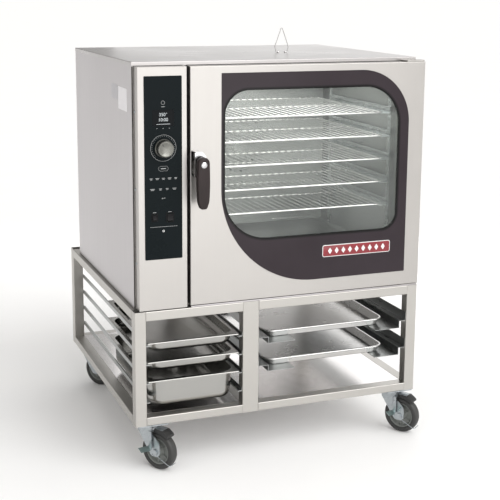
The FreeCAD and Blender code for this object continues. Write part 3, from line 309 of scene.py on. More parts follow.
def add_pan_head(mesh, place, axis, radius=0.0044, height=0.0026):
    """A pan-head screw with a round recess, its axis pointing out of the sheet."""
    profile = [(0, radius), (height * 0.45, radius), (height * 0.85, radius * 0.8), (height, radius * 0.45),
               (height, radius * 0.32), (height * 0.45, radius * 0.18), (height * 0.45, 0.00001)]
    add_turned(mesh, profile, place, axis, 20)


# Screws of the control cover and the back sheet: pan heads, zinc-plated.

def zinc_plate(name, colour=(0.50, 0.53, 0.55), shade=(0.30, 0.33, 0.35), roughness=0.30):
    """Bright zinc plating: small crystal patches, dulled spots and fine rub marks."""
    material, tree, shader = new_material(name)
    place = add_node(tree, "ShaderNodeTexCoord").outputs["Object"]
    crystals = add_node(tree, "ShaderNodeTexVoronoi", {"Vector": place, "Scale": 260.0}).outputs["Distance"]
    dull = speckle(tree, 45, 4, 0.6)
    patches = add_node(tree, "ShaderNodeMath", {0: ranged(tree, crystals, 0, 0.4, 0, 0.7),
                                                1: ranged(tree, dull, 0, 0.6)},
                       operation="ADD").outputs[0]
    tree.links.new(mix_colours(tree, patches, shade, colour), shader.inputs["Base Color"])
    tree.links.new(ranged(tree, dull, roughness - 0.08, roughness + 0.18), shader.inputs["Roughness"])
    relief = add_node(tree, "ShaderNodeBump", {"Strength": 0.15, "Distance": 0.0003, "Height": dull})
    tree.links.new(relief.outputs[0], shader.inputs["Normal"])
    shader.inputs["Metallic"].default_value = 0.95
    return material


zinc = zinc_plate("zinc")
cover_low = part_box("control_cover")[0]
screw_low, screw_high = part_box("cover_screws")
screws = bmesh.new()
screw_y = (screw_low.y + screw_high.y) / 2
screw_half = 4.4 * MM
lowest_screw = screw_low.z + screw_half
for height in (lowest_screw, lowest_screw + 240 * MM, screw_high.z - screw_half):
    add_pan_head(screws, (cover_low.x, screw_y, height), (-1, 0, 0))
cover_screws = finished("cover_screw_heads", screws, "oven", zinc)
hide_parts("cover_screws")

back_low, back_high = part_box("back_panel")
BACK_MARGIN = 0.02
BACK_HEAD = (0.005, 0.002)
screws = bmesh.new()
for step in range(5):
    x = back_low.x + BACK_MARGIN + (back_high.x - back_low.x - 2 * BACK_MARGIN) * step / 4
    for z in (back_low.z + BACK_MARGIN, back_high.z - BACK_MARGIN):
        add_pan_head(screws, (x, back_high.y, z), (0, 1, 0), *BACK_HEAD)
for step in range(1, 4):
    z = back_low.z + (back_high.z - back_low.z) * step / 4
    for x in (back_low.x + BACK_MARGIN, back_high.x - BACK_MARGIN):
        add_pan_head(screws, (x, back_high.y, z), (0, 1, 0), *BACK_HEAD)
finished("back_screw_heads", screws, "oven", zinc)

# Hoods over the rear cooling slots: pressed louvres that throw the warm air down.

LOUVRE_LENGTH = 0.206
LOUVRE_PITCH = 14.0 * MM
LOWEST_LOUVRE = 1.147
louvres = bmesh.new()
for bank_left in (87.0, 697.0):
    left = cad_box[0][0] + bank_left * MM
    for row in range(9):
        z = LOWEST_LOUVRE + LOUVRE_PITCH * row
        add_bar(louvres, (left, back_high.y - 0.0005, z),
                (left + LOUVRE_LENGTH, back_high.y + 0.0045, z + 0.0012), 0.0005)
finished("back_louvres", louvres, "oven", side_steel)


# Two plain foil plates near the top of the left side, with rounded corners and no print.

def add_plate(mesh, corners, thickness, matrix, edge=0.0, segments=10):
    """A flat plate from (x, y, radius) corners, thickened along +Z, edge-rounded and placed by a matrix."""
    verts = [mesh.verts.new((x, y, 0)) for x, y, _ in corners]
    mesh.faces.new(verts)
    for vert, (_, _, radius) in zip(verts, corners):
        if radius:
            bmesh.ops.bevel(mesh, geom=[vert], offset=radius, segments=segments, profile=0.5,
                            affect="VERTICES",
                            material=-1)
    mesh.faces.ensure_lookup_table()
    face = mesh.faces[-1]
    outline = list(face.verts)
    lifted = bmesh.ops.extrude_face_region(mesh, geom=[face])["geom"]
    top = [item for item in lifted if isinstance(item, bmesh.types.BMVert)]
    bmesh.ops.translate(mesh, vec=(0, 0, thickness), verts=top)
    verts = set(outline) | set(top)
    if edge:
        rim = [item for item in lifted if isinstance(item, bmesh.types.BMEdge) and item.is_valid]
        rim = [item for item in rim if all(vert in top for vert in item.verts)]
        made = bmesh.ops.bevel(mesh, geom=rim, offset=edge, segments=2, profile=0.5, affect="EDGES",
                               material=-1,
                               clamp_overlap=True)
        verts = {v for v in verts if v.is_valid} | set(made["verts"])
    verts = [vert for vert in verts if vert.is_valid]
    bmesh.ops.transform(mesh, matrix=matrix, verts=verts)
    return verts


def box_corners(x_span, y_span, radius):
    return [(x_span[0], y_span[0], radius), (x_span[1], y_span[0], radius), (x_span[1], y_span[1], radius),
            (x_span[0], y_span[1], radius)]


FACING_FRONT = Matrix.Rotation(math.radians(90), 4, "X")
FACING_LEFT = Matrix.Rotation(math.radians(-90), 4, "Z") @ FACING_FRONT


def moulded(name, colour, shade, roughness, grain=900.0, bump=0.2, coat=0.0, metallic=0.0, patch=14.0,
            shine=0.5):
    """Moulded or coated surface: fine texture, slow tone changes and dulled patches."""
    material, tree, shader = new_material(name)
    fine = speckle(tree, grain, 3)
    broad = speckle(tree, patch, 4, 0.6)
    tree.links.new(mix_colours(tree, ranged(tree, broad, 0, 1), shade, colour), shader.inputs["Base Color"])
    tree.links.new(ranged(tree, broad, roughness - 0.06, roughness + 0.1), shader.inputs["Roughness"])
    relief = add_node(tree, "ShaderNodeBump", {"Strength": bump, "Distance": 0.0002, "Height": fine})
    tree.links.new(relief.outputs[0], shader.inputs["Normal"])
    shader.inputs["Coat Weight"].default_value = coat
    shader.inputs["Metallic"].default_value = metallic
    shader.inputs["Specular IOR Level"].default_value = shine
    return material


side_low, side_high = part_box("left_side_panel")
FOIL = 0.0003
FOIL_START = 0.26
foil = moulded("foil_plate", (0.86, 0.84, 0.86), (0.80, 0.78, 0.80), 0.4)
grey_foil = moulded("grey_foil_plate", (0.52, 0.51, 0.53), (0.46, 0.45, 0.47), 0.4)
for name, x_span, z_span, look in (("blank_side_plate", (0.098, 0.205), (-0.148, -0.075), foil),
                                   ("blank_side_label", (0.010, 0.092), (-0.120, -0.072), grey_foil)):
    plate = bmesh.new()
    add_plate(plate, box_corners(x_span, z_span, 0.004), FOIL,
              Matrix.Translation((side_low.x, side_low.y + FOIL_START, side_high.z)) @ FACING_LEFT)
    finished(name, plate, "oven", look)


# Black strips filling the gaps beside the control cover, black strips under the
# header that are painted shadow in the seam there, and a folded steel drip rail on the stand under the door.

# Black strip material; under the header it is painted shadow standing in for the shade of the seam.
gap_strip_black_painted_shadow = moulded("gap_strip_black_painted_shadow", (0.020, 0.020, 0.021), (0.012, 0.012, 0.013), 0.6, shine=0.2)
gap_strips = bmesh.new()
UPRIGHT_GAP_STRIPS = (((12.6, 43.0, 389.5), (14.8, 46.5, 1164.0)), ((178.6, 38.0, 389.5), (187.6, 46.5, 1164.0)))
# Strips under the header: painted shadow, a black piece where the seam between header and door is in shade.
HEADER_PAINTED_SHADOW_STRIPS = (((17.0, 44.2, 1162.0), (178.0, 46.8, 1166.3)),
                ((190.0, 42.8, 1162.0), (1012.0, 46.6, 1166.3)))
for strip_low, strip_high in UPRIGHT_GAP_STRIPS + HEADER_PAINTED_SHADOW_STRIPS:
    add_bar(gap_strips, stand_corner + Vector(strip_low) * MM, stand_corner + Vector(strip_high) * MM, 0.0008)
finished("cover_gap_strips_painted_shadow", gap_strips, "oven", gap_strip_black_painted_shadow)
drip = bmesh.new()
add_bar(drip, stand_corner + Vector((190.0, 1.0, 386.1)) * MM,
        stand_corner + Vector((1019.0, 14.0, 390.8)) * MM, 0.0006)
finished("door_drip_rail", drip, "oven", side_steel)


# ---- Stand ----------------------------------------------------------------------
# Square stainless tube, welded and linished; the shelf and the pan slides are
# folded from thinner sheet and are duller than the frame.

stand_steel = brushed_steel("stand_steel", (0.515, 0.50, 0.475), (0.49, 0.475, 0.45), LEVEL_X, 0.38, cloud=5)
shelf_steel = brushed_steel("shelf_steel", (0.74, 0.72, 0.715), (0.70, 0.685, 0.68), LEVEL_Y, 0.18, cloud=4)
slide_steel = brushed_steel("slide_steel", (0.44, 0.455, 0.45), (0.39, 0.40, 0.40), LEVEL_Y, 0.30, cloud=5)
dress(["stand_frame"], stand_steel)
dress(["stand_shelf"], shelf_steel)
dress(["hotel_pan_slides", "sheet_pan_slides"], slide_steel)
dress(["hinge_brackets", "latch_keeper"], stand_steel)


# ---- Pans -----------------------------------------------------------------------
# Deep-drawn stainless food pans, polished and scuffed, and pressed aluminium
# baking pans with faint bake marks.

def pan_metal(name, colour, shade, roughness, stain):
    """Drawn metal: scattered fine scratches in two directions, rub marks and a few water stains."""
    material, tree, shader = new_material(name)
    along = speckle(tree, 55, 3, 0.6, (1, 9, 9))
    across = speckle(tree, 55, 3, 0.6, (9, 1, 9))
    scratches = add_node(tree, "ShaderNodeMath", {0: along, 1: across}, operation="MINIMUM").outputs[0]
    clouds = speckle(tree, 9, 4, 0.65)
    base = mix_colours(tree, ranged(tree, clouds, 0, 1), shade, colour)
    tree.links.new(mix_colours(tree, ranged(tree, scratches, 0.35, 0.0, 0.25, 0.5), base, stain),
                   shader.inputs["Base Color"])
    tree.links.new(ranged(tree, clouds, roughness - 0.02, roughness + 0.04), shader.inputs["Roughness"])
    relief = add_node(tree, "ShaderNodeBump", {"Strength": 0.02, "Distance": 0.0003, "Height": scratches})
    tree.links.new(relief.outputs[0], shader.inputs["Normal"])
    shader.inputs["Metallic"].default_value = 1.0
    return material


pan_steel = pan_metal("pan_steel", (0.43, 0.425, 0.405), (0.395, 0.39, 0.38), 0.20, (0.385, 0.385, 0.37))
pan_aluminium = pan_metal("pan_aluminium", (0.68, 0.675, 0.665), (0.62, 0.615, 0.61), 0.25,
                          (0.60, 0.59, 0.58))
dress([name for name in nodes if name.startswith("hotel_pan_") and name[-1].isdigit()], pan_steel)
dress([name for name in nodes if name.startswith("sheet_pan_") and name[-1].isdigit()], pan_aluminium)


# ---- Oven chamber -----------------------------------------------------------------
# Welded stainless chamber, dulled grey-green by heat, with bright plated racks on
# punched side guides and a lamp behind a frosted lens.

chamber_steel = brushed_steel("chamber_steel", (0.40, 0.42, 0.395), (0.33, 0.345, 0.33), UPRIGHT, 0.36,
                              cloud=5)
guide_steel = brushed_steel("guide_steel", (0.66, 0.70, 0.69), (0.50, 0.54, 0.53), LEVEL_Y, 0.26, cloud=6)
dress(["cavity_liner", "fan_baffle", "door_liner", "steam_generator", "convection_fan"], chamber_steel)
dress(["rack_guides"], guide_steel)


def plated_wire(name, colour, shade, roughness):
    """Bright plated wire: nearly mirror, with warm dull patches from heat."""
    material, tree, shader = new_material(name)
    heat = speckle(tree, 12, 3, 0.6)
    tree.links.new(mix_colours(tree, ranged(tree, heat, 0, 1), shade, colour), shader.inputs["Base Color"])
    tree.links.new(ranged(tree, heat, roughness + 0.1, roughness), shader.inputs["Roughness"])
    fine = speckle(tree, 700, 2)
    relief = add_node(tree, "ShaderNodeBump", {"Strength": 0.1, "Distance": 0.0001, "Height": fine})
    tree.links.new(relief.outputs[0], shader.inputs["Normal"])
    shader.inputs["Metallic"].default_value = 1.0
    return material


rack_wire = plated_wire("rack_wire", (0.95, 0.95, 0.93), (0.80, 0.80, 0.77), 0.18)
dress([name for name in nodes if name.startswith("wire_rack_")], rack_wire)
dress(["wire_bail", "knob_shaft", "latch_cam"],
      plated_wire("hanger_wire", (0.62, 0.62, 0.61), (0.45, 0.45, 0.44), 0.3))
dress(["door_gasket"], moulded("gasket_rubber", (0.045, 0.045, 0.045), (0.028, 0.028, 0.028), 0.55))
dress(["fan_motor"], moulded("motor_enamel", (0.10, 0.11, 0.12), (0.07, 0.075, 0.08), 0.4, coat=0.3))
dress(["heating_element"], brushed_steel("heater_sheath", (0.30, 0.26, 0.23), (0.18, 0.15, 0.14), LEVEL_Y,
                                         0.5))
dress(["control_board"], moulded("board_green", (0.03, 0.20, 0.08), (0.02, 0.13, 0.05), 0.45, coat=0.4))
dress(["cavity_lamp"], moulded("lamp_lens", (0.92, 0.92, 0.86), (0.82, 0.82, 0.75), 0.25, bump=0.3))
dress(["rear_fittings"], brushed_steel("fitting_brass", (0.72, 0.58, 0.30), (0.55, 0.43, 0.21), LEVEL_X,
                                       0.32))

cavity_low, cavity_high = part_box("cavity_liner")
baffle_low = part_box("fan_baffle")[0]


def wire_mesh(points, radius, bend_points=8):
    """A bent wire as a mesh: a smooth curve through its corners with a round section."""
    curve = bpy.data.curves.new("wire_path", "CURVE")
    curve.dimensions = "3D"
    curve.bevel_depth = radius
    curve.bevel_resolution = 4
    curve.resolution_u = bend_points
    curve.use_fill_caps = True
    spline = curve.splines.new("NURBS")
    spline.points.add(len(points) - 1)
    for point, place in zip(spline.points, points):
        point.co = (*place, 1)
    spline.order_u = 3
    spline.use_endpoint_u = True
    holder = bpy.data.objects.new("wire_path", curve)
    bpy.context.scene.collection.objects.link(holder)
    bpy.context.view_layer.update()
    made = bpy.data.meshes.new_from_object(holder.evaluated_get(bpy.context.evaluated_depsgraph_get()))
    bpy.data.objects.remove(holder)
    bpy.data.curves.remove(curve)
    return made


def add_wire(mesh, points, radius):
    data = wire_mesh(points, radius)
    mesh.from_mesh(data)
    bpy.data.meshes.remove(data)


# Lift handle of the fan baffle: a bent bright rod screwed to its foot.
handle = bmesh.new()
handle_left = baffle_low.x + 0.46
handle_z = cavity_low.z + 0.045
handle_out = baffle_low.y - 0.055
handle_right = handle_left + 0.168
route = [(handle_left, baffle_low.y, handle_z + 0.012), (handle_left, baffle_low.y - 0.03, handle_z + 0.006),
         (handle_left, handle_out, handle_z), (handle_left + 0.006, handle_out, handle_z),
         (handle_right - 0.006, handle_out, handle_z), (handle_right, handle_out, handle_z),
         (handle_right, handle_out + 0.006, handle_z), (handle_right, baffle_low.y, handle_z + 0.012)]
add_wire(handle, route, 0.003)
finished("baffle_lift_handle", handle, "oven", rack_wire)

chamber_x = (cavity_low.x + cavity_high.x) / 2
chamber_y = cavity_low.y + 0.28
chamber_light = lamp("chamber_lamp", "AREA", (chamber_x, chamber_y, cavity_high.z - 0.02),
                     (chamber_x, chamber_y, cavity_low.z), 1.6, size=0.5)
side_light = lamp("chamber_side_lamp", "AREA", (cavity_low.x + 0.02, cavity_low.y + 0.2, cavity_high.z - 0.3),
                  (cavity_high.x, cavity_low.y + 0.45, cavity_low.z + 0.25), 2.0, size=0.35)
for light in (chamber_light, side_light):
    light.visible_camera = False


# ---- Door -----------------------------------------------------------------------
# A stainless tray with a bonded pane: dark ceramic print on the glass leaves a
# clear window with four unequal corners; a second pane sits in the liner.

def rounded_loop(mesh, corners, matrix, segments=24):
    """A closed loop of edges from (x, y, radius) corners, each rounded by its own radius."""
    verts = [mesh.verts.new((x, y, 0)) for x, y, _ in corners]
    mesh.faces.new(verts)
    for vert, (_, _, radius) in zip(verts, corners):
        bmesh.ops.bevel(mesh, geom=[vert], offset=radius, segments=segments, profile=0.5, affect="VERTICES",
                        material=-1)
    mesh.faces.ensure_lookup_table()
    face = mesh.faces[-1]
    loop_edges = list(face.edges)
    bmesh.ops.transform(mesh, matrix=matrix, verts=list(face.verts))
    bmesh.ops.delete(mesh, geom=[face], context="FACES_ONLY")
    return loop_edges


def printed_glass():
    """Dark brown-violet enamel seen through glass, faintly cloudy, fading to black beside the window."""
    material, tree, shader = new_material("printed_glass")
    depth = speckle(tree, 4, 3, 0.6)
    enamel_colour = mix_colours(tree, ranged(tree, depth, 0, 1), (0.026, 0.019, 0.023), (0.033, 0.025, 0.030))
    edge = add_node(tree, "ShaderNodeAttribute", attribute_name="window_edge").outputs["Fac"]
    tree.links.new(mix_colours(tree, ranged(tree, edge, 0, 1, 0, 0.6), enamel_colour, (0.004, 0.004, 0.004)),
                   shader.inputs["Base Color"])
    tree.links.new(ranged(tree, depth, 0.14, 0.20), shader.inputs["Roughness"])
    relief = add_node(tree, "ShaderNodeBump", {"Strength": 0.02, "Distance": 0.001, "Height": depth})
    tree.links.new(relief.outputs[0], shader.inputs["Normal"])
    shader.inputs["Specular IOR Level"].default_value = 0.2
    return material


def window_glass(name, veil, tint):
    """Clear pane: mostly see-through, with a thin haze of wipe marks that catches the light."""
    material, tree, shader = new_material(name)
    haze = speckle(tree, 6, 4, 0.6)
    shader.inputs["Base Color"].default_value = (*tint, 1)
    shader.inputs["Roughness"].default_value = 0.04
    tree.links.new(ranged(tree, haze, veil * 0.7, veil * 1.3), shader.inputs["Alpha"])
    fine = speckle(tree, 40, 2)
    relief = add_node(tree, "ShaderNodeBump", {"Strength": 0.01, "Distance": 0.0005, "Height": fine})
    tree.links.new(relief.outputs[0], shader.inputs["Normal"])
    return material


glass_low, glass_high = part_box("door_outer_glass")
TOP_SWEEP = 0.180
BOTTOM_SWEEP = 0.330
glass_thickness = glass_high.y - glass_low.y
pane_x = (glass_low.x, glass_high.x)
pane_z = (glass_low.z, glass_high.z)
window_x = (glass_low.x + 0.012, glass_high.x - 0.040)
window_z = (glass_low.z + 0.157, glass_high.z - 0.056)
WINDOW_CORNERS = (0.150, 0.055, 0.125, 0.080)
window_outline = [(x, z, radius) for (x, z), radius in zip(
    ((window_x[0], window_z[0]), (window_x[1], window_z[0]), (window_x[1], window_z[1]),
     (window_x[0], window_z[1])),
    WINDOW_CORNERS)]
pane_outline = [(pane_x[0], pane_z[0], BOTTOM_SWEEP), (pane_x[1], pane_z[0], 0.002),
                (pane_x[1], pane_z[1], TOP_SWEEP),
                (pane_x[0], pane_z[1], 0.002)]
front_of_glass = Matrix.Translation((0, glass_low.y, 0)) @ FACING_FRONT

HALO = 0.011
halo_outline = [(x + side_x * HALO, z + side_z * HALO, radius + HALO) for (x, z, radius),
                (side_x, side_z) in zip(
    window_outline, ((-1, -1), (1, -1), (1, 1), (-1, 1)))]
border = bmesh.new()
window_edge = border.verts.layers.float.new("window_edge")
pane_edges = rounded_loop(border, pane_outline, front_of_glass)
halo_edges = rounded_loop(border, halo_outline, front_of_glass)
ring = bmesh.ops.bridge_loops(border, edges=pane_edges + halo_edges)["faces"]
inner_edges = rounded_loop(border, window_outline, front_of_glass)
for edge in inner_edges:
    for vert in edge.verts:
        vert[window_edge] = 1.0
ring += bmesh.ops.bridge_loops(border, edges=halo_edges + inner_edges)["faces"]
deep = bmesh.ops.extrude_face_region(border, geom=ring)["geom"]
bmesh.ops.translate(border, vec=(0, glass_thickness, 0),
                    verts=[v for v in deep if isinstance(v, bmesh.types.BMVert)])
glass_border = finished("door_glass_print", border, "door", printed_glass(), 25)
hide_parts("door_outer_glass")

clear = window_glass("window_clear", 0.035, (0.80, 0.84, 0.82))
window = bmesh.new()
add_plate(window, window_outline, glass_thickness - 0.001,
          Matrix.Translation((0, glass_high.y - 0.0003, 0)) @ FACING_FRONT, segments=24)
finished("door_window_pane", window, "door", clear)
dress(["door_inner_glass"], window_glass("inner_clear", 0.035, (0.85, 0.90, 0.88)))

# Badge: a red enamelled plate with a thin pale border line, left without any name.

badge_x = (glass_high.x - 0.314, glass_high.x - 0.059)
badge_z = (glass_low.z + 0.074, glass_low.z + 0.115)
RIM_THICKNESS = 0.0016
FACE_THICKNESS = 0.0020
PATTERN_THICKNESS = 0.0023


def enamel(name, colour, shade, roughness=0.16):
    material, tree, shader = new_material(name)
    pool = speckle(tree, 40, 3)
    tree.links.new(mix_colours(tree, ranged(tree, pool, 0, 1), shade, colour), shader.inputs["Base Color"])
    tree.links.new(ranged(tree, pool, roughness, roughness + 0.08), shader.inputs["Roughness"])
    relief = add_node(tree, "ShaderNodeBump", {"Strength": 0.05, "Distance": 0.0004, "Height": pool})
    tree.links.new(relief.outputs[0], shader.inputs["Normal"])
    shader.inputs["Coat Weight"].default_value = 0.5
    return material


badge_red = enamel("badge_red", (0.235, 0.007, 0.016), (0.19, 0.005, 0.012))
print_white = enamel("print_white", (0.80, 0.80, 0.79), (0.70, 0.70, 0.69), 0.3)
badge_front = Matrix.Translation((0, glass_low.y, 0)) @ FACING_FRONT
badge = bmesh.new()
add_plate(badge, box_corners(badge_x, badge_z, 0.007), RIM_THICKNESS, badge_front, 0.0005)
finished("door_badge_edge", badge, "door", print_white)
badge = bmesh.new()
inset = 0.0022
face_x = (badge_x[0] + inset, badge_x[1] - inset)
face_z = (badge_z[0] + inset, badge_z[1] - inset)
add_plate(badge, box_corners(face_x, face_z, 0.005), FACE_THICKNESS, badge_front, 0.0004)
finished("door_badge_face", badge, "door", badge_red)
badge = bmesh.new()
middle_z = (badge_z[0] + badge_z[1]) / 2
stripe_count = 9
stripe_pitch = (badge_x[1] - badge_x[0] - 0.03) / stripe_count
for index in range(stripe_count):
    x = badge_x[0] + 0.015 + stripe_pitch * (index + 0.5)
    half = stripe_pitch * 0.30
    diamond = [(x - half, middle_z, 0.001), (x, middle_z - 0.011, 0.001), (x + half, middle_z, 0.001),
               (x, middle_z + 0.011, 0.001)]
    add_plate(badge, diamond, PATTERN_THICKNESS, badge_front, segments=3)
finished("door_badge_pattern", badge, "door", print_white)


# ---- Door handle ------------------------------------------------------------------
# A chromed channel bolted to the door carries a dark moulded lever on a steel
# spindle; a bright cap hides the spindle's screw.

chrome = plated_wire("handle_chrome", (0.62, 0.62, 0.63), (0.54, 0.54, 0.55), 0.09)
dress(["handle_bracket"], chrome)
pivot = Vector(joints["handle_turn"]["pos_m"])
lever_low, lever_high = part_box("handle_lever")
half_lever = 0.019
lever_front = lever_low.y + 0.0015
lever_back = lever_front + 0.020
lever_foot = lever_low.z
lever_head = lever_high.z - 0.0002
lever_outline = [
    (pivot.x - half_lever, lever_head, half_lever * 0.98), (pivot.x - half_lever - 0.002, pivot.z - 0.075,
                                                            0.03),
    (pivot.x - half_lever + 0.001, lever_foot + 0.022, 0.008), (pivot.x - half_lever + 0.009, lever_foot,
                                                                0.005),
    (pivot.x + half_lever - 0.009, lever_foot, 0.005), (pivot.x + half_lever - 0.001, lever_foot + 0.022,
                                                        0.008),
    (pivot.x + half_lever + 0.002, pivot.z - 0.075, 0.03), (pivot.x + half_lever, lever_head,
                                                            half_lever * 0.98)]
lever = bmesh.new()
add_plate(lever, lever_outline, lever_back - lever_front,
          Matrix.Translation((0, lever_back, 0)) @ FACING_FRONT, 0.004)
lever_plastic = moulded("lever_plastic", (0.030, 0.022, 0.022), (0.023, 0.017, 0.017), 0.36, 1400, 0.15,
                        shine=0.2)
lever_piece = finished("handle_lever_grip", lever, "handle", lever_plastic)
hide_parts("handle_lever")
cap = bmesh.new()
add_turned(cap, [(0, 0.00001), (0, 0.0108), (0.0012, 0.0106), (0.0026, 0.0092), (0.0034, 0.0060),
                 (0.0036, 0.00001)],
           (pivot.x, lever_front + 0.0022, pivot.z), (0, -1, 0), 40)
finished("handle_cap", cap, "handle", chrome)
spindle = bmesh.new()
add_turned(spindle, [(0, 0.00001), (0, 0.006), (0.068, 0.006), (0.068, 0.00001)],
           (pivot.x, lever_back - 0.001, pivot.z),
           (0, 1, 0), 32)
add_turned(spindle, [(0, 0.0062), (0, 0.012), (0.0018, 0.0125), (0.0022, 0.012), (0.0022, 0.0062)],
           (pivot.x, lever_back, pivot.z), (0, 1, 0), 32)
finished("handle_spindle", spindle, "handle", chrome)


# ---- Control column ---------------------------------------------------------------
# Dark printed overlay on the folded cover: display, push-and-turn knob in a dial
# ring, rows of key marks and two rockers in bezels.

overlay_low, overlay_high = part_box("control_overlay")
overlay_print = moulded("overlay_print", (0.0065, 0.0095, 0.011), (0.005, 0.008, 0.009), 0.28, 2200, 0.08,
                        shine=0.06)
dress(["control_overlay"], overlay_print)
dress(["display_module"], moulded("display_glass", (0.009, 0.010, 0.011), (0.007, 0.008, 0.009), 0.22,
                                  bump=0.02, shine=0.05))
centre_x = (overlay_low.x + overlay_high.x) / 2
face_y = overlay_low.y
PRINT = 0.00015


def dash(mesh, x, drop, width, height):
    """A small printed bar, its centre a distance below the overlay's top."""
    z = overlay_high.z - drop
    add_bar(mesh, (x - width / 2, face_y - PRINT, z - height / 2),
            (x + width / 2, face_y + PRINT, z + height / 2))


def arc_mark(mesh, x, z, radius, width, start, sweep, steps):
    """A printed arc: a short radial edge spun about the dial's centre."""
    centre = Vector((x, face_y - PRINT, z))
    pair = [mesh.verts.new(centre + Vector((math.cos(start), 0,
                                            math.sin(start))) * (radius + side * width / 2))
            for side in (-1, 1)]
    edge = mesh.edges.new(pair)
    bmesh.ops.spin(mesh, geom=pair + [edge], cent=centre, axis=(0, -1, 0), angle=sweep, steps=steps)


knob_centre = Vector(joints["knob_turn"]["pos_m"])
print_grey = enamel("print_grey", (0.36, 0.37, 0.37), (0.29, 0.30, 0.30), 0.4)
marks = bmesh.new()
power_z = overlay_high.z - 0.083
arc_mark(marks, centre_x, power_z, 0.0056, 0.0009, 0, 2 * math.pi, 32)
dash(marks, centre_x, 0.0955, 0.0120, 0.0014)
for side in (-1, 0, 1):
    dash(marks, centre_x + side * 0.020, 0.163, 0.0022, 0.0022)
arc_mark(marks, knob_centre.x, knob_centre.z, 0.0415, 0.0008, 0, 2 * math.pi, 96)
TICK_COUNT = 27
TICK_START = 0.0358
for index in range(TICK_COUNT + 1):
    angle = math.radians(225 - 270 * index / TICK_COUNT)
    reach = 0.0022 if index % 3 else 0.0038
    tick = add_bar(marks, (-0.0003, -PRINT, 0), (0.0003, PRINT, reach))
    turn = Matrix.Rotation(math.pi / 2 - angle, 4, "Y")
    bmesh.ops.translate(marks, vec=(0, 0, TICK_START), verts=tick)
    bmesh.ops.transform(marks, matrix=turn, verts=tick)
    bmesh.ops.translate(marks, vec=(knob_centre.x, face_y, knob_centre.z), verts=tick)
UPPER_KEYS = ((-0.040, 0.010), (-0.020, 0.012), (0.0, 0.010), (0.020, 0.012), (0.040, 0.009))
LOWER_KEYS = ((-0.036, 0.015), (-0.010, 0.009), (0.012, 0.009), (0.036, 0.013))
KEY_LINE = 0.0016
for drop, keys in ((0.3205, UPPER_KEYS), (0.3540, LOWER_KEYS)):
    for x_offset, width in keys:
        dash(marks, centre_x + x_offset, drop, width, KEY_LINE)
        dash(marks, centre_x + x_offset, drop + 0.0035, width * 0.7, KEY_LINE)
dash(marks, centre_x, 0.385, 0.011, 0.0010)
dash(marks, centre_x - 0.004, 0.385, 0.0035, 0.0035)
dash(marks, centre_x + 0.0045, 0.3835, 0.0010, 0.0035)
for x_offset in (-0.030, 0.020):
    dash(marks, centre_x + x_offset, 0.4290, 0.011, 0.0014)
    dash(marks, centre_x + x_offset, 0.4325, 0.008, 0.0014)
for index in range(14):
    dash(marks, centre_x - 0.042 + index * 0.0065, 0.476, 0.0045, 0.0013)
finished("overlay_marks", marks, "oven", print_grey, 10)

pill = bmesh.new()
pill_z = overlay_high.z - 0.290
pill_edges = []
for half_width, half_height in ((0.0160, 0.0078), (0.0154, 0.0072)):
    outline = box_corners((centre_x - half_width, centre_x + half_width),
                          (pill_z - half_height, pill_z + half_height), half_height - 0.0002)
    pill_edges += rounded_loop(pill, outline, Matrix.Translation((0, face_y - PRINT, 0)) @ FACING_FRONT, 8)
bmesh.ops.bridge_loops(pill, edges=pill_edges)
dash(pill, centre_x, 0.290, 0.016, 0.0024)
finished("overlay_start_pill", pill, "oven", print_grey, 10)

light_ring = bmesh.new()
add_turned(light_ring, [(0, 0.0022), (0, 0.0036), (0.0008, 0.0036), (0.0010, 0.0030), (0.0006, 0.0022),
                        (0, 0.0022)],
           (centre_x - 0.001, face_y, overlay_high.z - 0.490), (0, -1, 0), 24)
finished("overlay_status_ring", light_ring, "oven", print_white)


# Display digits: a temperature above a time, on the dark glass.

def digits(text, size, x, z):
    """A line of figures as a flat mesh that faces the front."""
    curve = bpy.data.curves.new("digits", "FONT")
    curve.body = text
    curve.size = size
    curve.align_x = "CENTER"
    curve.align_y = "CENTER"
    holder = bpy.data.objects.new("digits", curve)
    bpy.context.scene.collection.objects.link(holder)
    bpy.context.view_layer.update()
    made = bpy.data.meshes.new_from_object(holder.evaluated_get(bpy.context.evaluated_depsgraph_get()))
    bpy.data.objects.remove(holder)
    bpy.data.curves.remove(curve)
    made.transform(Matrix.Translation((x, display_low.y - PRINT, z)) @ FACING_FRONT)
    return made


display_low, display_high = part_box("display_module")
display_x = (display_low.x + display_high.x) / 2
display_z = (display_low.z + display_high.z) / 2
lit = bmesh.new()
FIGURE_SIZE = 0.0145
for text, lift in (("350°", 0.010), ("10:00", -0.006)):
    line = digits(text, FIGURE_SIZE, display_x, display_z + lift)
    lit.from_mesh(line)
    bpy.data.meshes.remove(line)


def lit_figures():
    material, tree, shader = new_material("lit_figures")
    flicker = speckle(tree, 300, 2)
    tree.links.new(mix_colours(tree, ranged(tree, flicker, 0, 1), (0.40, 0.43, 0.44), (0.50, 0.53, 0.54)),
                   shader.inputs["Base Color"])
    shader.inputs["Emission Color"].default_value = (0.80, 0.90, 0.95, 1)
    shader.inputs["Emission Strength"].default_value = 0.12
    return material


add_bar(lit, (display_x - 0.022, display_low.y - PRINT, display_z - 0.0200),
        (display_x + 0.022, display_low.y + PRINT, display_z - 0.0188))
finished("display_figures", lit, "oven", lit_figures(), 10)


# Knob: turned aluminium with a fine knurl, a dished face and a dark pointer line.

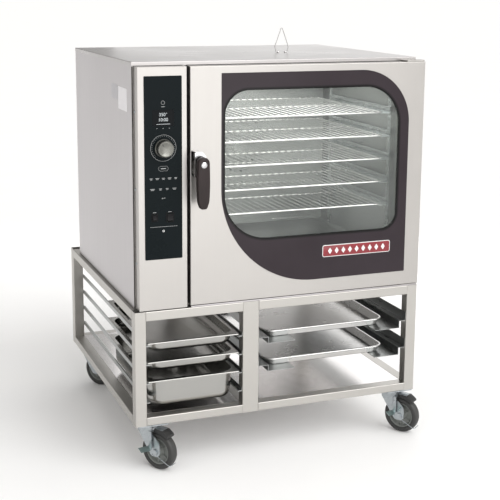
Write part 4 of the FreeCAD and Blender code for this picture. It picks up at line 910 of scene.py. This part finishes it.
def turned_aluminium():
    """Turned metal: concentric tool marks about the knob's axis, with soft rub marks."""
    material, tree, shader = new_material("turned_aluminium")
    place = add_node(tree, "ShaderNodeTexCoord").outputs["Object"]
    centred = add_node(tree, "ShaderNodeMapping",
                       {"Vector": place, "Location": (-knob_centre.x, 0, -knob_centre.z)})
    rings = add_node(tree, "ShaderNodeTexWave",
                     {"Vector": centred.outputs[0], "Scale": 700.0, "Distortion": 1.5,
                                                 "Detail": 2.0}, wave_type="RINGS",
                                                 rings_direction="Y").outputs["Fac"]
    rub = speckle(tree, 90, 3)
    tree.links.new(mix_colours(tree, ranged(tree, rub, 0, 1), (0.17, 0.17, 0.155), (0.23, 0.23, 0.21)),
                   shader.inputs["Base Color"])
    tree.links.new(ranged(tree, rings, 0.22, 0.36), shader.inputs["Roughness"])
    relief = add_node(tree, "ShaderNodeBump", {"Strength": 0.12, "Distance": 0.0002, "Height": rings})
    tree.links.new(relief.outputs[0], shader.inputs["Normal"])
    shader.inputs["Metallic"].default_value = 1.0
    return material


knob_low, knob_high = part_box("control_knob")
knob_depth = knob_high.y - knob_low.y
knob = bmesh.new()
add_turned(knob, [(0, 0.00001), (0, 0.0285), (0.0010, 0.0290), (0.0042, 0.0288), (0.0060, 0.0272),
                  (0.0075, 0.0262),
                  (knob_depth - 0.0030, 0.0255), (knob_depth - 0.0012, 0.0247), (knob_depth, 0.0230),
                  (knob_depth, 0.0212), (knob_depth - 0.0008, 0.0200), (knob_depth - 0.0012, 0.00001)],
           (knob_centre.x, knob_high.y, knob_centre.z), (0, -1, 0), 96)
GRIP_RIBS = 60
half_rib = (knob_depth - 0.0085) / 2
for index in range(GRIP_RIBS):
    rib = add_bar(knob, (-0.00045, -half_rib, 0), (0.00045, half_rib, 0.0006))
    bmesh.ops.translate(knob, vec=(0, 0, 0.0254), verts=rib)
    bmesh.ops.transform(knob, matrix=Matrix.Rotation(2 * math.pi * index / GRIP_RIBS, 4, "Y"), verts=rib)
    bmesh.ops.translate(knob, vec=(knob_centre.x, knob_high.y - knob_depth / 2 - 0.0020, knob_centre.z),
                        verts=rib)
knob_piece = finished("control_knob_turned", knob, "knob", turned_aluminium())
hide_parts("control_knob")
pointer = bmesh.new()
add_bar(pointer, (-0.0009, -0.0004, 0.0120), (0.0009, 0.0010, 0.0205), 0.0003)
bmesh.ops.transform(pointer, matrix=Matrix.Rotation(math.radians(-38), 4, "Y"), verts=pointer.verts)
bmesh.ops.translate(pointer, vec=(knob_centre.x, knob_low.y + 0.0008, knob_centre.z), verts=pointer.verts)
pointer_black = moulded("pointer_black", (0.03, 0.03, 0.03), (0.02, 0.02, 0.02), 0.4)
finished("knob_pointer", pointer, "knob", pointer_black)

# Rocker switches: black paddles in raised bezels, with a bar and a ring moulded in.

rocker_black = moulded("rocker_black", (0.009, 0.009, 0.010), (0.006, 0.006, 0.007), 0.34, 1600, 0.1,
                       shine=0.12)
dress(["timer_rocker", "power_rocker"], rocker_black)
for name in ("timer_rocker", "power_rocker"):
    low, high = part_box(name)
    bezel = bmesh.new()
    place = Matrix.Translation((0, face_y, 0)) @ FACING_FRONT
    outer = box_corners((low.x - 0.0035, high.x + 0.0035), (low.z - 0.0044, high.z + 0.0044), 0.002)
    inner = box_corners((low.x - 0.0009, high.x + 0.0009), (low.z - 0.0026, high.z + 0.0026), 0.001)
    rim = rounded_loop(bezel, outer, place, 4) + rounded_loop(bezel, inner, place, 4)
    ring = bmesh.ops.bridge_loops(bezel, edges=rim)["faces"]
    raised = bmesh.ops.extrude_face_region(bezel, geom=ring)["geom"]
    bmesh.ops.translate(bezel, vec=(0, -0.0016, 0),
                        verts=[v for v in raised if isinstance(v, bmesh.types.BMVert)])
    finished(name + "_bezel", bezel, "oven", rocker_black)


# ---- Casters ----------------------------------------------------------------------
# Rigid top plate and ball race, pressed zinc-plated fork, rubber tyre on a moulded
# hub; the front pair has a foot brake with a rubber shoe and a lifting tab.

dress(["caster_plates"] + [name for name in nodes if name.startswith("caster_fork_")], zinc)
tyre_rubber = moulded("tyre_rubber", (0.036, 0.036, 0.035), (0.026, 0.026, 0.025), 0.5, 700, 0.3, patch=30)
hub_grey = moulded("hub_grey", (0.20, 0.21, 0.20), (0.14, 0.15, 0.14), 0.42, 900, 0.2, patch=40)
shoe_rubber = moulded("shoe_rubber", (0.022, 0.022, 0.022), (0.014, 0.014, 0.014), 0.5, 700, 0.25)
tab_zinc = zinc_plate("tab_zinc", (0.30, 0.37, 0.36), (0.18, 0.24, 0.23), 0.34)
WHEEL_RADIUS = 0.0635
HUB_RADIUS = 0.045
SPOKE_COUNT = 6
SHOE_HALF_WIDTH = 0.019
CASTER_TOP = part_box("caster_plates")[1].z


def mirrored(profile):
    """A profile given for one side of the wheel, carried round to the other side."""
    return profile + [(-along, radius) for along, radius in reversed(profile)]


def caster(corner, braked):
    swivel = Vector(joints["swivel_" + corner]["pos_m"])
    roll = joints["roll_" + corner]
    hub_centre = Vector(roll["pos_m"])
    axis = Vector(roll["axis"])
    wheel = "wheel_" + corner
    place = Matrix.Translation((swivel.x, swivel.y, CASTER_TOP)) @ Matrix.Rotation(math.atan2(axis.y, axis.x),
                                                                                   4, "Z")
    tread = mirrored([(-0.0120, HUB_RADIUS), (-0.0150, 0.0462), (-0.0158, 0.0490), (-0.0163, 0.0505),
                      (-0.0158, 0.0520),
                      (-0.0158, 0.0562), (-0.0148, 0.0592), (-0.0122, 0.0618), (-0.0080, 0.0632), (-0.0012,
                                                                                                   0.0635)])
    tyre = bmesh.new()
    add_turned(tyre, tread + tread[:1], hub_centre, axis, 72)
    tyre_piece = finished("tyre_" + corner, tyre, wheel, tyre_rubber)
    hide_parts("caster_wheel_" + corner)
    rim = mirrored([(-0.0138, HUB_RADIUS), (-0.0142, 0.0432), (-0.0128, 0.0412), (-0.0060, 0.0390),
                    (-0.0044, 0.0372),
                    (-0.0040, 0.0210), (-0.0060, 0.0180), (-0.0160, 0.0168), (-0.0185, 0.0150), (-0.0185,
                                                                                                 0.0062)])
    hub = bmesh.new()
    add_turned(hub, rim + rim[:1], hub_centre, axis, 64)
    for index in range(SPOKE_COUNT):
        rib = add_bar(hub, (-0.0100, -0.0016, 0.0175), (0.0100, 0.0016, 0.0392), 0.0006)
        bmesh.ops.transform(hub, matrix=Matrix.Rotation(2 * math.pi * index / SPOKE_COUNT, 4, "X"), verts=rib)
        turned = Matrix.Translation(hub_centre) @ Matrix.Rotation(math.atan2(axis.y, axis.x), 4, "Z")
        bmesh.ops.transform(hub, matrix=turned, verts=rib)
    finished("hub_" + corner, hub, wheel, hub_grey)
    bearing = bmesh.new()
    for side in (-1, 1):
        add_turned(bearing, [(0.0183, 0.0064), (0.0183, 0.0140), (0.0190, 0.0142), (0.0196, 0.0132),
                             (0.0198, 0.0064),
                             (0.0183, 0.0064)], hub_centre, axis * side, 40)
    finished("bearing_caps_" + corner, bearing, wheel, zinc)
    race = bmesh.new()
    add_turned(race, [(-0.0045, 0.0285), (-0.0045, 0.0300), (-0.0065, 0.0312), (-0.0090, 0.0308),
                      (-0.0104, 0.0292),
                      (-0.0104, 0.0275), (-0.0045, 0.0285)], (swivel.x, swivel.y, CASTER_TOP), (0, 0, 1), 48)
    finished("ball_race_" + corner, race, "oven", zinc)
    if braked:
        foot_brake(corner, place)


def foot_brake(corner, place):
    """Rubber shoe on the tread, its metal arm, the side tab, and the wire that keeps the tread clean."""
    body = "brake_" + corner
    axle_y = -0.042
    axle_z = WHEEL_RADIUS - 0.162
    clear = WHEEL_RADIUS + 0.0012
    shoe = bmesh.new()
    under = [(axle_y - clear * math.sin(math.radians(angle)), axle_z + clear * math.cos(math.radians(angle)))
             for angle in (-9, 3, 15, 27, 39)]
    outline = under + [(-0.0890, -0.0420), (-0.0860, -0.0355), (-0.0680, -0.0230), (-0.0320, -0.0210)]
    face = shoe.faces.new([shoe.verts.new((-SHOE_HALF_WIDTH, y, z)) for y, z in outline])
    across = bmesh.ops.extrude_face_region(shoe, geom=[face])["geom"]
    bmesh.ops.translate(shoe, vec=(2 * SHOE_HALF_WIDTH, 0, 0),
                        verts=[v for v in across if isinstance(v, bmesh.types.BMVert)])
    sharp = [edge for edge in shoe.edges if edge.calc_face_angle(0) > math.radians(30)]
    bmesh.ops.bevel(shoe, geom=sharp, offset=0.0012, segments=2, profile=0.5, affect="EDGES", material=-1,
                    clamp_overlap=True)
    slope = Matrix.Rotation(math.radians(36), 4, "X")
    for index in range(5):
        ridge_y = -0.0705 - index * 0.0040
        ridge_z = -0.0250 - index * 0.0030
        add_bar(shoe, (-0.016, ridge_y - 0.0008, ridge_z), (0.016, ridge_y + 0.0008, ridge_z + 0.0024),
                0.0004,
                turn=slope)
    bmesh.ops.transform(shoe, matrix=place, verts=shoe.verts)
    shoe_piece = finished("brake_shoe_" + corner, shoe, body, shoe_rubber)
    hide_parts("caster_brake_" + corner)
    arm = bmesh.new()
    add_bar(arm, (-0.0150, -0.0640, -0.0234), (0.0150, -0.0320, -0.0208), 0.0008,
            turn=Matrix.Rotation(math.radians(2), 4, "X"))
    add_bar(arm, (-0.0330, -0.0320, -0.0300), (0.0, -0.0285, -0.0260), 0.0008)
    add_bar(arm, (-0.0330, -0.0320, -0.0900), (-0.0303, -0.0180, -0.0262), 0.0010)
    bmesh.ops.transform(arm, matrix=place, verts=arm.verts)
    finished("brake_arm_" + corner, arm, body, zinc)
    tab = bmesh.new()
    verts = add_bar(tab, (-0.0245, -0.0100, -0.0013), (0.0245, 0.0100, 0.0013), 0.0009)
    lean = Matrix.Rotation(math.radians(12), 4, "Y") @ Matrix.Rotation(math.radians(38), 4, "X")
    bmesh.ops.transform(tab, matrix=lean, verts=verts)
    bmesh.ops.translate(tab, vec=(-0.0570, -0.0225, -0.0815), verts=verts)
    bmesh.ops.transform(tab, matrix=place, verts=tab.verts)
    finished("brake_tab_" + corner, tab, body, tab_zinc)
    wire = bmesh.new()
    add_wire(wire, [(-0.0252, -0.053, -0.112), (-0.0256, -0.067, -0.118), (-0.0258, -0.093, -0.131),
                    (-0.0250, -0.1015, -0.1335), (-0.0190, -0.1035, -0.1325), (0.0020, -0.1045,
                                                                               -0.1300)], 0.0013)
    bmesh.ops.transform(wire, matrix=place, verts=wire.verts)
    finished("tread_wire_" + corner, wire, "fork_" + corner, zinc)


for corner_name in ("front_left", "front_right", "rear_left", "rear_right"):
    caster(corner_name, corner_name.startswith("front"))
